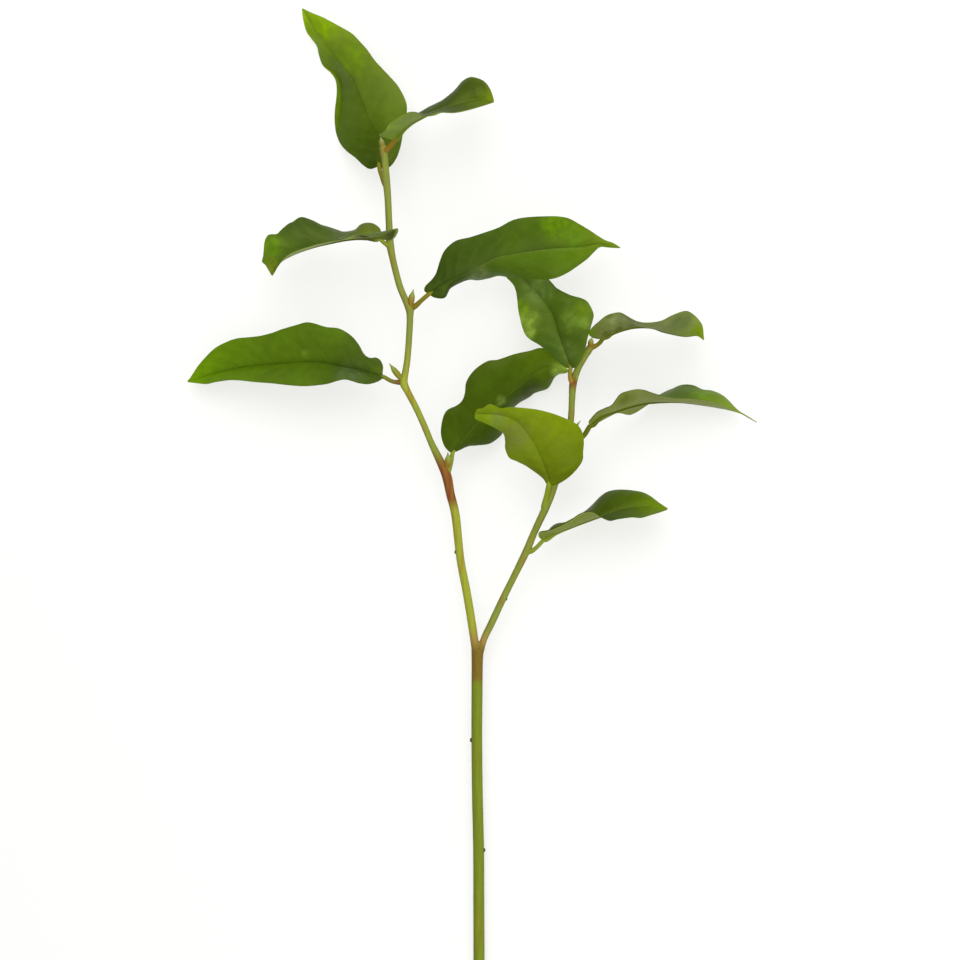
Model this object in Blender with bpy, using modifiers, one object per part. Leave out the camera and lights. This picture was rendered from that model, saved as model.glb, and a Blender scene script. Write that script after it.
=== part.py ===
"""A cut sprig of salal, lying on a flat surface.

A straight stem forks into two branches. The left branch carries six leaves and the right one five.
Every leaf is one solid: its petiole runs on as the midrib under the blade. The stem, its branches,
swollen nodes, buds and old leaf scars grew as one piece and are one solid.

Frame: +Y runs along the stem from the cut end to the tips, +X to the right, +Z up from the surface
at z = 0. The origin is the middle of the sprig's outline on that surface.
Lengths below are in millimetres; the model is in metres.
"""
import math
from dataclasses import dataclass

import bmesh
import bpy
from mathutils import Vector

MM = 0.001

# Driving sizes
BLADE_THICKNESS = 0.7
BLADE_ROWS = 18            # bands from leaf base to tip
BLADE_STEPS = (0.3, 0.58, 0.8, 1.0)    # places from midrib to margin, as shares of the half width
PETIOLE_RADIUS = 0.95      # at the stem
RIB_END_RADIUS = 0.26      # thinner than half the blade, so the rib ends inside it
RIB_SHARE = 0.8            # share of the blade's length that the rib shows under
RIB_DROP = 0.55            # how far the thick end of the rib hangs under the blade
PETIOLE_SIDES = 2          # bevel resolution, eight sides
STEM_SIDES = 3             # bevel resolution, ten sides
STEM_RADIUS = 2.7          # at the cut end
LYING_HEIGHT = STEM_RADIUS * math.cos(math.pi / (2 * STEM_SIDES + 4))    # axis, on a flat facet
DRIP_RADIUS = 0.45         # of the thread that a drawn-out tip ends in
ROOT_GAP = 0.35            # clearance between a petiole's root and the stem's skin

# The lines below are drawn as an eye above the sprig sees them against one level, z = 20: the
# higher a point lies, the nearer it truly is to the spot under the eye. Heights are true.
EYE = (4.0, 19.5, 2687.0)
DRAWN_LEVEL = 20.0

COLLECTION_NAME = "salal_sprig"


# The stem's lines: x, y, z and radius along each axis
MAIN_STEM = (
    (3.5, -254.4, LYING_HEIGHT, STEM_RADIUS), (3.5, -235.0, LYING_HEIGHT, STEM_RADIUS),
    (3.5, -215.0, LYING_HEIGHT, STEM_RADIUS),
    (3.4, -190.0, 2.8, 2.68), (3.3, -165.5, 3.3, 2.65), (2.7, -138.0, 4.0, 2.65),
    (2.4, -110.5, 5.0, 2.65), (2.5, -88.0, 6.5, 2.7), (2.7, -71.0, 8.0, 2.8),
    (2.8, -65.0, 8.6, 2.6), (2.9, -62.0, 8.8, 1.9), (2.9, -60.6, 8.9, 0.9),
)
LEFT_BRANCH = (
    (2.6, -70.0, 8.1, 1.8), (1.4, -60.0, 9.0, 2.0), (-2.4, -38.0, 10.5, 1.95),
    (-5.8, -20.0, 12.0, 1.9), (-8.2, 1.5, 14.0, 2.05), (-10.8, 12.5, 15.5, 2.1),
    (-12.5, 21.0, 16.5, 2.35), (-14.8, 26.6, 17.1, 2.1), (-20.1, 37.5, 18.5, 1.55),
    (-23.4, 45.5, 19.0, 1.5), (-27.9, 55.5, 19.8, 1.5), (-32.1, 63.5, 20.5, 1.6),
    (-34.2, 68.3, 21.0, 2.0), (-33.4, 73.0, 21.3, 1.6), (-32.3, 80.0, 21.8, 1.5),
    (-31.4, 91.5, 22.8, 1.5), (-31.0, 101.0, 23.6, 1.6), (-31.3, 105.5, 24.0, 2.05),
    (-33.5, 110.0, 24.4, 1.6), (-36.3, 117.0, 25.1, 1.55), (-39.5, 129.5, 26.3, 1.55),
    (-41.0, 138.0, 26.9, 1.85), (-41.4, 146.0, 27.5, 1.6), (-42.0, 159.5, 28.5, 1.6),
    (-42.8, 169.0, 29.0, 1.75), (-43.5, 179.0, 29.7, 1.55), (-44.4, 185.2, 30.0, 1.75),
    (-44.8, 187.6, 30.1, 0.9),
)
RIGHT_BRANCH = (
    (3.2, -70.0, 8.1, 1.7), (5.4, -60.5, 9.1, 1.75), (9.7, -52.0, 10.0, 1.7),
    (15.4, -40.0, 12.0, 1.65), (21.1, -28.5, 13.5, 1.6), (27.0, -16.5, 15.0, 1.8),
    (31.4, -6.0, 16.2, 1.65), (36.2, 5.5, 17.8, 1.8), (39.2, 15.0, 19.0, 1.6),
    (43.9, 28.5, 20.5, 1.55), (47.0, 38.5, 21.5, 1.8), (49.2, 49.5, 22.3, 1.5),
    (50.0, 60.0, 23.4, 1.5), (50.6, 68.0, 24.0, 1.8), (52.7, 74.5, 24.8, 1.55),
    (56.0, 80.5, 25.5, 1.5), (58.8, 85.3, 26.0, 1.8), (59.8, 87.0, 26.2, 0.9),
)

# Buds: root, belly and tip of each, with the belly's radius
BUDS = (
    ((-34.5, 69.5, 21.5), (-37.2, 72.2, 23.2), (-41.2, 77.0, 24.3), 1.35),
    ((-30.9, 106.0, 24.5), (-30.2, 110.2, 26.4), (-29.4, 115.2, 27.4), 1.35),
    ((-12.6, 26.0, 17.8), (-12.0, 30.2, 20.6), (-12.6, 33.4, 21.8), 1.35),
    ((-44.6, 186.0, 30.2), (-45.0, 188.6, 31.0), (-45.6, 191.0, 31.8), 1.25),
    ((48.0, 41.0, 21.9), (51.2, 45.2, 23.2), (54.3, 49.2, 24.0), 1.0),
    ((59.0, 86.0, 26.4), (59.4, 88.6, 27.8), (60.2, 91.0, 29.0), 1.15),
    ((50.6, 68.5, 24.2), (52.2, 70.2, 26.4), (52.6, 72.6, 27.8), 0.95),
)

# Old leaf scars: low knobs on the skin, as centre and radius
SCARS = (
    ((0.2, -110.5, 5.1), 1.35),
    ((5.4, -165.5, 3.5), 1.35),
    ((-7.7, -16.5, 12.2), 1.15),
    ((16.6, -39.8, 12.2), 1.15),
)


@dataclass(frozen=True)
class Leaf:
    """One leaf. Left and right are as seen from above the blade, looking from base to tip.

    petiole starts on the stem's axis and runs to the blade's base, where rib starts. rib ends at
    the blade's tip. left and right are the margins' points between that base and that tip. dome is
    how far each half bulges up, as a share of its width. drip is the end of a drawn-out tip.
    """

    name: str
    stem_radius: float
    petiole: tuple
    rib: tuple
    left: tuple
    right: tuple
    dome: tuple = (0.09, 0.09)
    drip: tuple = ()


LEAVES = (
    Leaf(
        name="leaf_left_1",
        stem_radius=2.5,
        petiole=((-12.2, 23.5, 16.9), (-9.7, 28.5, 18.2)),
        rib=((-8.5, 33.5, 19.5), (-1.0, 43.5, 20.0), (6.5, 52.0, 19.5), (14.0, 58.5, 19.0),
             (21.5, 64.5, 18.0), (34.5, 76.5, 15.5), (45.5, 77.5, 13.0)),
        left=((-11.2, 34.5, 20.2), (-13.6, 37.8, 20.5), (-15.2, 42.5, 21.0), (-14.8, 48.5, 21.0),
              (-12.0, 54.4, 21.0), (-7.5, 56.2, 21.0), (-4.2, 59.4, 21.0), (-2.8, 66.5, 21.0),
              (-0.2, 72.5, 20.5), (4.0, 77.0, 20.0), (12.0, 79.2, 19.5), (21.5, 82.6, 18.5),
              (35.0, 85.0, 17.0), (41.5, 82.5, 15.5)),
        right=((-5.5, 35.4, 17.0), (2.0, 37.4, 12.5), (8.2, 38.0, 8.0), (13.0, 40.8, 5.0),
               (15.5, 47.0, 4.0), (18.0, 53.0, 4.0), (22.0, 56.5, 4.0), (28.5, 61.0, 4.0),
               (37.0, 65.0, 4.5), (40.5, 70.0, 6.5), (42.5, 73.0, 9.0)),
    ),
    Leaf(
        name="leaf_left_2",
        stem_radius=2.1,
        petiole=((-34.0, 68.3, 21.0), (-39.5, 68.7, 21.5)),
        rib=((-44.0, 70.8, 22.0), (-56.0, 75.0, 21.5), (-66.0, 76.5, 20.5), (-88.0, 78.5, 17.0),
             (-106.0, 78.0, 14.0), (-121.0, 75.5, 11.0), (-133.5, 71.5, 8.5),
             (-142.5, 68.5, 7.0)),
        left=((-48.0, 68.0, 26.0), (-55.0, 67.5, 31.0), (-63.0, 70.0, 33.5), (-70.0, 68.0, 32.5),
              (-83.0, 66.5, 30.0), (-101.0, 67.5, 25.5), (-117.5, 69.5, 21.0), (-126.0, 68.5, 16.5),
              (-133.0, 67.5, 12.0), (-138.5, 68.0, 9.0)),
        right=((-44.3, 77.0, 22.5), (-47.5, 80.5, 22.5), (-52.0, 80.7, 23.0), (-55.0, 84.5, 23.5),
               (-58.5, 90.5, 24.0), (-66.0, 95.5, 24.0), (-73.0, 96.0, 23.5), (-82.0, 98.5, 22.0),
               (-91.0, 96.5, 20.0), (-100.0, 93.0, 17.5), (-111.0, 91.0, 15.0), (-120.0, 90.0, 13.0),
               (-128.5, 85.5, 11.0), (-136.0, 77.5, 8.5)),
    ),
    Leaf(
        name="leaf_left_3",
        stem_radius=2.15,
        petiole=((-31.3, 105.0, 24.0), (-28.0, 106.5, 24.8), (-25.0, 109.5, 26.0)),
        rib=((-21.5, 112.5, 27.0), (-14.5, 117.5, 29.0), (-0.5, 123.5, 32.0), (14.0, 131.0, 34.5),
             (32.0, 135.0, 35.0), (48.0, 135.5, 33.0), (63.5, 137.5, 29.5), (74.5, 135.5, 28.0)),
        left=((-24.3, 115.4, 28.0), (-20.6, 119.4, 29.5), (-17.0, 124.0, 31.0), (-15.0, 130.5, 33.0),
              (-12.6, 135.6, 34.0), (-9.0, 138.6, 34.8), (-1.0, 141.0, 35.5), (13.5, 146.0, 37.0),
              (26.0, 151.0, 38.0), (39.0, 151.5, 38.5),
              (51.0, 149.5, 37.0), (61.5, 142.5, 33.5), (68.0, 139.3, 30.0)),
        right=((-17.5, 110.0, 26.0), (-13.0, 111.0, 26.0), (-10.5, 115.5, 24.5), (-4.0, 119.0, 22.5),
               (5.0, 120.0, 21.5), (13.5, 122.0, 23.5), (24.0, 120.5, 27.5), (36.5, 120.0, 30.5),
               (46.5, 122.5, 31.0), (54.5, 128.0, 30.0), (60.5, 134.5, 29.0), (66.0, 136.3, 28.7)),
    ),
    Leaf(
        name="leaf_left_4",
        stem_radius=1.95,
        petiole=((-40.6, 135.8, 26.8), (-43.8, 138.0, 28.6)),
        rib=((-46.5, 140.0, 29.5), (-56.0, 141.0, 30.5), (-63.5, 140.6, 30.5),
             (-76.0, 137.8, 29.5), (-88.5, 133.2, 28.0), (-96.5, 127.8, 28.0),
             (-100.0, 121.5, 29.0)),
        left=((-41.0, 139.5, 35.0), (-37.0, 143.0, 37.5), (-39.0, 145.0, 40.0), (-45.0, 143.0, 41.5),
              (-52.0, 141.2, 42.5), (-63.0, 140.6, 42.5), (-76.0, 138.8, 42.5), (-87.0, 135.6, 41.5),
              (-94.0, 131.0, 38.5), (-98.0, 125.5, 34.0)),
        right=((-45.6, 143.0, 26.5), (-50.5, 147.8, 24.5), (-57.5, 145.6, 23.0), (-63.5, 143.6, 22.0),
               (-72.0, 145.6, 22.0), (-80.0, 149.6, 22.0), (-85.0, 150.6, 23.0), (-91.0, 147.6, 24.5),
               (-96.0, 143.0, 26.0), (-101.5, 142.0, 27.5), (-104.0, 137.5, 28.5),
               (-104.5, 129.0, 30.0)),
    ),
    Leaf(
        name="leaf_left_5",
        stem_radius=1.5,
        petiole=((-44.0, 183.6, 30.0), (-40.8, 186.6, 32.6)),
        rib=((-38.5, 189.0, 34.5), (-35.0, 194.0, 36.0), (-30.5, 198.0, 36.5), (-25.0, 201.0, 36.0),
             (-17.0, 204.5, 35.0), (-6.0, 208.5, 33.0), (3.0, 210.0, 31.0), (11.0, 208.5, 29.0)),
        left=((-36.8, 192.0, 31.0), (-33.0, 196.6, 28.0), (-27.5, 201.6, 25.5), (-20.0, 205.5, 23.5),
              (-13.0, 209.6, 23.0), (-7.0, 215.4, 23.5), (-1.5, 220.3, 24.0), (4.0, 219.8, 25.0),
              (8.3, 215.3, 27.0)),
        right=((-43.0, 190.8, 40.0), (-46.5, 192.2, 44.0), (-43.5, 194.5, 47.0), (-40.5, 198.0, 48.5),
               (-35.0, 201.8, 49.0), (-29.0, 203.0, 48.5), (-25.0, 202.2, 48.0), (-22.0, 200.6, 48.0),
               (-17.5, 202.8, 48.0), (-8.0, 203.5, 46.5), (0.0, 205.2, 43.0), (6.0, 207.2, 37.0)),
    ),
    Leaf(
        name="leaf_left_6",
        stem_radius=1.75,
        petiole=((-42.8, 169.0, 29.0), (-45.2, 172.8, 26.6)),
        rib=((-46.5, 176.5, 24.5), (-48.0, 192.5, 19.5), (-53.0, 204.0, 15.5),
             (-59.0, 219.5, 12.5), (-71.0, 234.5, 10.5), (-85.0, 255.5, 13.0)),
        left=((-51.0, 175.5, 22.0), (-58.0, 180.5, 15.0), (-65.5, 187.5, 5.0), (-68.6, 199.5, -3.0),
              (-67.3, 212.5, -5.0), (-68.0, 218.8, -4.0), (-71.5, 223.6, -2.0), (-75.0, 227.0, 0.0),
              (-76.6, 232.0, 2.0), (-79.2, 239.0, 5.0), (-83.2, 244.5, 8.0)),
        right=((-41.0, 176.0, 24.0), (-37.5, 180.5, 23.0), (-34.5, 189.5, 22.0), (-32.5, 205.0, 20.5),
               (-37.5, 217.5, 18.0), (-48.5, 229.5, 16.5), (-60.0, 243.0, 16.0), (-74.5, 251.0, 15.5)),
        dome=(-0.12, 0.09),
    ),
    Leaf(
        name="leaf_right_1",
        stem_radius=2.05,
        petiole=((27.0, -16.5, 15.0), (31.2, -15.8, 16.2), (33.4, -13.8, 17.2)),
        rib=((35.5, -10.6, 18.0), (42.0, -6.0, 19.0), (50.0, -2.8, 20.0), (65.0, 1.6, 20.0),
             (76.5, 5.5, 19.0), (88.0, 6.5, 17.0), (98.0, 5.0, 15.0)),
        left=((37.0, -8.0, 14.0), (40.5, -2.8, 11.0), (46.0, -1.6, 9.0), (52.5, 1.0, 7.0),
              (58.0, 4.8, 6.5), (64.5, 11.5, 7.0), (71.0, 14.5, 8.0), (79.0, 14.3, 9.5),
              (87.0, 12.5, 11.0), (93.5, 8.5, 13.0)),
        right=((32.8, -8.0, 23.0), (34.5, -5.8, 26.5), (41.0, -4.5, 30.0), (50.0, 0.0, 32.0),
               (56.5, 3.2, 33.0), (60.5, 3.0, 33.5), (65.0, 0.5, 33.5), (68.0, -1.0, 33.0),
               (72.0, -0.5, 32.0), (79.0, 1.0, 30.0), (86.0, 1.0, 26.0), (92.0, 3.0, 21.0)),
    ),
    Leaf(
        name="leaf_right_2",
        stem_radius=1.95,
        petiole=((36.5, 6.0, 17.9), (37.4, 10.5, 21.8)),
        rib=((38.7, 17.0, 25.5), (37.0, 24.5, 30.0), (34.0, 32.0, 34.5), (28.0, 42.5, 39.0),
             (23.0, 48.5, 41.0), (14.0, 51.5, 41.5), (1.5, 52.5, 38.0)),
        left=((33.0, 22.5, 28.0), (26.5, 27.0, 30.0), (20.0, 29.5, 32.0), (16.5, 34.5, 34.0),
              (16.5, 39.5, 36.0), (15.0, 43.0, 38.0), (9.5, 46.5, 39.5), (4.0, 49.2, 39.5)),
        right=((42.5, 17.8, 26.5), (48.5, 21.0, 29.0), (55.5, 29.0, 32.5), (56.2, 38.0, 35.0),
               (55.0, 44.5, 37.0), (50.5, 48.5, 38.5), (44.0, 51.5, 40.0), (31.5, 55.0, 43.0),
               (21.5, 56.0, 44.0), (14.5, 55.5, 43.5), (10.0, 57.5, 43.0), (5.5, 55.8, 41.0)),
    ),
    Leaf(
        name="leaf_right_3",
        stem_radius=1.5,
        petiole=((47.2, 38.0, 21.4), (51.5, 38.8, 22.0), (55.8, 41.2, 22.6)),
        rib=((58.8, 46.4, 23.0), (64.0, 51.5, 22.0), (70.0, 54.2, 20.5), (78.0, 56.8, 19.0),
             (89.0, 59.2, 17.0), (102.0, 59.2, 14.0), (114.0, 58.0, 12.0), (128.0, 55.2, 10.0),
             (135.0, 52.4, 9.0)),
        left=((63.5, 47.5, 18.0), (68.5, 50.0, 14.0), (73.0, 51.5, 10.0), (78.5, 52.3, 7.0),
              (84.5, 54.5, 3.5), (91.0, 59.5, 0.5), (98.0, 64.5, -2.0), (106.0, 67.0, -3.5),
              (114.0, 65.0, -2.0), (124.0, 62.0, 2.0), (131.0, 57.0, 5.5)),
        right=((59.5, 50.5, 27.0), (65.0, 55.0, 31.0), (70.5, 57.5, 32.5), (74.5, 62.5, 33.0),
               (82.5, 65.0, 32.5), (89.0, 63.5, 31.5), (94.5, 62.0, 30.0), (102.0, 60.5, 27.5),
               (113.0, 60.5, 24.0), (123.0, 58.0, 19.0), (131.0, 54.4, 13.0)),
        drip=(142.5, 48.3, 8.0),
    ),
    Leaf(
        name="leaf_right_4",
        stem_radius=1.6,
        petiole=((50.5, 67.6, 24.0), (49.0, 71.0, 26.2)),
        rib=((49.3, 75.5, 28.0), (45.0, 87.5, 27.0), (40.0, 103.0, 23.0), (32.0, 114.0, 19.0),
             (24.0, 121.5, 15.5), (15.5, 128.0, 13.0)),
        left=((42.0, 79.5, 26.5), (36.5, 84.5, 25.0), (30.5, 88.5, 23.5), (26.0, 93.5, 22.5),
              (24.5, 98.5, 21.5), (23.0, 105.5, 20.0), (22.5, 111.5, 18.5), (20.5, 117.0, 16.5),
              (16.0, 121.0, 14.5), (13.5, 125.0, 13.5)),
        right=((53.0, 78.0, 30.5), (56.5, 84.5, 32.0), (58.0, 91.0, 32.0), (60.0, 97.0, 30.5),
               (61.0, 102.5, 28.5), (58.0, 108.5, 26.0), (50.0, 111.5, 23.5), (41.5, 116.0, 20.0),
               (37.5, 120.5, 17.5), (29.0, 126.5, 15.0)),
    ),
    Leaf(
        name="leaf_right_5",
        stem_radius=0.4,
        petiole=((58.8, 85.0, 26.0), (62.8, 87.4, 27.3)),
        rib=((65.0, 89.5, 28.5), (71.0, 92.5, 29.5), (80.0, 95.5, 29.0), (89.5, 95.5, 28.0),
             (96.0, 92.8, 27.0), (106.0, 91.0, 25.0), (112.5, 91.8, 23.5), (116.0, 89.5, 22.5)),
        left=((66.0, 92.0, 24.0), (69.0, 97.0, 20.0), (74.0, 100.5, 17.5), (80.0, 99.0, 16.5),
              (86.0, 97.3, 15.5), (94.0, 98.3, 14.5), (102.0, 101.0, 14.0), (109.0, 101.5, 15.0),
              (113.5, 97.0, 18.5)),
        right=((61.0, 90.4, 33.0), (59.2, 92.8, 36.5), (60.0, 95.8, 39.0), (64.0, 98.8, 41.0),
               (70.0, 102.0, 42.0), (74.5, 103.0, 42.5), (79.0, 100.8, 42.5), (84.5, 98.5, 42.0),
               (92.0, 99.0, 41.0), (100.0, 101.5, 39.0), (107.0, 104.0, 36.5), (111.5, 102.0, 33.0),
               (115.3, 97.5, 28.0)),
    ),
)

LEAF_GREEN = (0.115, 0.200, 0.026)
STEM_GREEN = (0.300, 0.330, 0.060)


def clear_scene():
    """Remove whatever objects the scene starts with."""
    for item in list(bpy.data.objects):
        bpy.data.objects.remove(item, do_unlink=True)


def new_collection(name):
    """Add a collection of that name to the scene."""
    collection = bpy.data.collections.new(name)
    bpy.context.scene.collection.children.link(collection)
    return collection


def new_material(name, colour, roughness):
    """A plain waxy plant skin."""
    material = bpy.data.materials.new(name)
    material.use_nodes = True
    shader = material.node_tree.nodes["Principled BSDF"]
    shader.inputs["Base Color"].default_value = (*colour, 1.0)
    shader.inputs["Roughness"].default_value = roughness
    shader.inputs["Metallic"].default_value = 0.0
    return material


def to_metres(point):
    """The place in the model of a drawn point, whose x and y are as the eye above sees it."""
    nearness = (EYE[2] - point[2]) / (EYE[2] - DRAWN_LEVEL)
    x = EYE[0] + (point[0] - EYE[0]) * nearness
    y = EYE[1] + (point[1] - EYE[1]) * nearness
    return Vector((x, y, point[2])) * MM


def spline_point(before, start, end, after, share):
    """A point between start and end on a Catmull-Rom spline, for values of any length."""
    square = share * share
    cube = square * share
    weights = (
        0.5 * (-cube + 2.0 * square - share),
        0.5 * (3.0 * cube - 5.0 * square + 2.0),
        0.5 * (-3.0 * cube + 4.0 * square + share),
        0.5 * (cube - square),
    )
    return tuple(
        weights[0] * a + weights[1] * b + weights[2] * c + weights[3] * d
        for a, b, c, d in zip(before, start, end, after)
    )


def smooth_line(points, steps=8):
    """A smooth line through the points, with steps pieces between each two."""
    ahead = tuple(2.0 * a - b for a, b in zip(points[0], points[1]))
    behind = tuple(2.0 * a - b for a, b in zip(points[-1], points[-2]))
    padded = (ahead, *points, behind)
    line = []
    for index in range(len(points) - 1):
        for step in range(steps):
            line.append(spline_point(*padded[index:index + 4], step / steps))
    line.append(tuple(points[-1]))
    return line


def at_shares(line, shares):
    """The points at the given shares of a line's length."""
    lengths = [0.0]
    for start, end in zip(line, line[1:]):
        lengths.append(lengths[-1] + (Vector(end[:3]) - Vector(start[:3])).length)
    found = []
    index = 0
    for share in shares:
        goal = share * lengths[-1]
        while index < len(line) - 2 and lengths[index + 1] < goal:
            index += 1
        part = (goal - lengths[index]) / max(lengths[index + 1] - lengths[index], 1e-9)
        found.append(tuple(a + (b - a) * part for a, b in zip(line[index], line[index + 1])))
    return found


def row_shares(rows):
    """Shares of the length at the rows between leaf base and tip, a little closer at both ends."""
    shares = []
    for row in range(1, rows):
        even = row / rows
        eased = 0.5 - 0.5 * math.cos(math.pi * even)
        shares.append(0.6 * even + 0.4 * eased)
    return shares


def blade_rows(leaf, rows):
    """Rows of points across the blade, each from left margin over the midrib to right margin."""
    shares = row_shares(rows)
    base, tip = leaf.rib[0], leaf.rib[-1]
    rib, left, right = (
        [Vector(point) for point in at_shares(smooth_line(line), shares)]
        for line in (leaf.rib, (base, *leaf.left, tip), (base, *leaf.right, tip))
    )
    spine = [Vector(base), *rib, Vector(tip)]
    grid = []
    for row in range(len(rib)):
        along = spine[row + 2] - spine[row]
        halves = []
        for margin, side, dome in ((left[row], -1.0, leaf.dome[0]), (right[row], 1.0, leaf.dome[1])):
            across = margin - rib[row]
            upward = (across * side).cross(along).normalized() * across.length
            half = []
            for share in BLADE_STEPS:
                rise = dome * 4.0 * share * (1.0 - share)
                half.append(rib[row] + across * share + upward * rise)
            halves.append(half)
        grid.append([*reversed(halves[0]), rib[row], *halves[1]])
    return grid


def rest_on_surface(point):
    """Keep the middle of the blade half its thickness above the surface it lies on."""
    return Vector((point[0], point[1], max(point[2], 0.5 * BLADE_THICKNESS)))


def build_blade(leaf, collection, material):
    """The blade: an open sheet of triangles that Solidify gives its thickness."""
    sheet = bmesh.new()
    vertex_rows = [
        [sheet.verts.new(to_metres(rest_on_surface(point))) for point in row]
        for row in blade_rows(leaf, BLADE_ROWS)
    ]
    base, tip = (sheet.verts.new(to_metres(rest_on_surface(leaf.rib[end]))) for end in (0, -1))
    first, last = vertex_rows[0], vertex_rows[-1]
    for column in range(len(first) - 1):
        sheet.faces.new((base, first[column + 1], first[column]))
        sheet.faces.new((tip, last[column], last[column + 1]))
        for near, far in zip(vertex_rows, vertex_rows[1:]):
            sheet.faces.new((near[column], near[column + 1], far[column + 1], far[column]))
    sheet.normal_update()
    mesh = bpy.data.meshes.new(leaf.name)
    sheet.to_mesh(mesh)
    sheet.free()
    mesh.materials.append(material)
    blade = bpy.data.objects.new(leaf.name, mesh)
    collection.objects.link(blade)
    blade.modifiers.new("halves", "TRIANGULATE")
    wall = blade.modifiers.new("thickness", "SOLIDIFY")
    wall.thickness = BLADE_THICKNESS * MM
    wall.offset = 0.0
    wall.use_even_offset = False
    return blade


def build_tube(name, points, sides, collection, material):
    """A closed tube along the points, each x, y, z and radius, as a mesh object."""
    data = bpy.data.curves.new(name, "CURVE")
    data.dimensions = "3D"
    data.bevel_depth = MM
    data.bevel_resolution = sides
    data.use_fill_caps = True
    data.twist_mode = "Z_UP"
    spline = data.splines.new("POLY")
    spline.points.add(len(points) - 1)
    for place, point in zip(spline.points, points):
        place.co = (*to_metres(point), 1.0)
        place.radius = point[3]
    guide = bpy.data.objects.new(name, data)
    collection.objects.link(guide)
    graph = bpy.context.evaluated_depsgraph_get()
    mesh = bpy.data.meshes.new_from_object(guide.evaluated_get(graph))
    bpy.data.objects.remove(guide, do_unlink=True)
    shell = bmesh.new()
    shell.from_mesh(mesh)
    bmesh.ops.remove_doubles(shell, verts=shell.verts, dist=1e-6)
    bmesh.ops.triangulate(shell, faces=shell.faces)
    bmesh.ops.recalc_face_normals(shell, faces=shell.faces)
    shell.to_mesh(mesh)
    shell.free()
    mesh.materials.clear()
    mesh.materials.append(material)
    tube = bpy.data.objects.new(name, mesh)
    collection.objects.link(tube)
    return tube


def apply_modifiers(item):
    """Replace an object's mesh by what its modifiers make of it."""
    graph = bpy.context.evaluated_depsgraph_get()
    mesh = bpy.data.meshes.new_from_object(item.evaluated_get(graph))
    item.modifiers.clear()
    old = item.data
    item.data = mesh
    bpy.data.meshes.remove(old)


def unite(item, pieces):
    """Grow the pieces into the object as one closed body, and drop the pieces."""
    tools = new_collection("cutters")
    for piece in pieces:
        for home in list(piece.users_collection):
            home.objects.unlink(piece)
        tools.objects.link(piece)
        piece.hide_render = True
        piece.display_type = "WIRE"
    union = item.modifiers.new("grown together", "BOOLEAN")
    union.operation = "UNION"
    union.solver = "EXACT"
    union.operand_type = "COLLECTION"
    union.collection = tools
    apply_modifiers(item)
    for piece in pieces:
        bpy.data.objects.remove(piece, do_unlink=True)
    bpy.data.collections.remove(tools)


def petiole_root(leaf):
    """Where the petiole's end face lies, clear of the stem's skin by the root gap."""
    axis_point = Vector(leaf.petiole[0])
    toward = (Vector(leaf.petiole[1]) - axis_point).normalized()
    stem_line = nearest_direction(axis_point)
    slant = abs(toward.dot(stem_line))
    lean = math.sqrt(1.0 - slant * slant)
    reach = (leaf.stem_radius + ROOT_GAP + PETIOLE_RADIUS * slant) / lean
    return axis_point + toward * reach


def nearest_direction(place):
    """The direction of the stem or branch that passes closest to a place."""
    best = None
    for line in (MAIN_STEM, LEFT_BRANCH, RIGHT_BRANCH):
        for start, end in zip(line, line[1:]):
            middle = (Vector(start[:3]) + Vector(end[:3])) / 2.0
            distance = (middle - place).length
            if best is None or distance < best[0]:
                best = (distance, (Vector(end[:3]) - Vector(start[:3])).normalized())
    return best[1]


def rib_line(leaf):
    """The petiole and, running on from it, the midrib: x, y, z and radius."""
    root = petiole_root(leaf)
    bends = smooth_line((tuple(root), *leaf.petiole[1:], leaf.rib[0]))
    line = [(*point, PETIOLE_RADIUS) for point in at_shares(bends, (0.0, 0.33, 0.67, 1.0))]
    grid = blade_rows(leaf, BLADE_ROWS)
    middle = len(BLADE_STEPS)
    last = round(RIB_SHARE * BLADE_ROWS)
    for row in range(1, last + 1):
        rib = grid[row][middle]
        across = grid[row][middle + 1] - grid[row][middle - 1]
        along = grid[row][middle] - grid[row - 1][middle]
        under = along.cross(across).normalized()
        fade = 1.0 - row / last
        radius = RIB_END_RADIUS + (PETIOLE_RADIUS - RIB_END_RADIUS) * fade * 0.85
        centre = rest_on_surface(rib) + under * RIB_DROP * fade
        line.append((*centre, radius))
    return line


def build_leaf(leaf, collection, material):
    """Blade, petiole and midrib in one solid."""
    blade = build_blade(leaf, collection, material)
    apply_modifiers(blade)
    rib = build_tube(leaf.name + "_rib", rib_line(leaf), PETIOLE_SIDES, collection, material)
    pieces = [rib]
    if leaf.drip:
        tail = ((*leaf.rib[-2], 0.3), (*leaf.rib[-1], DRIP_RADIUS), (*leaf.drip, DRIP_RADIUS))
        pieces.append(build_tube(leaf.name + "_drip", tail, 1, collection, material))
    unite(blade, pieces)
    return blade


def build_bud(name, bud, collection, material):
    """A pointed bud: a short tube that swells at its belly and closes at its tip."""
    root, belly, tip, radius = bud
    line = ((*root, 0.7 * radius), (*belly, radius), (*tip, 0.2))
    shaped = at_shares(smooth_line(line), (0.0, 0.3, 0.5, 0.7, 0.88, 1.0))
    return build_tube(name, shaped, 1, collection, material)


def build_scar(name, scar, collection, material):
    """The low knob that an old leaf left."""
    centre, radius = scar
    knob = bmesh.new()
    bmesh.ops.create_icosphere(knob, subdivisions=1, radius=radius * MM)
    bmesh.ops.translate(knob, verts=knob.verts, vec=to_metres(centre))
    mesh = bpy.data.meshes.new(name)
    knob.to_mesh(mesh)
    knob.free()
    mesh.materials.append(material)
    item = bpy.data.objects.new(name, mesh)
    collection.objects.link(item)
    return item


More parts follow.
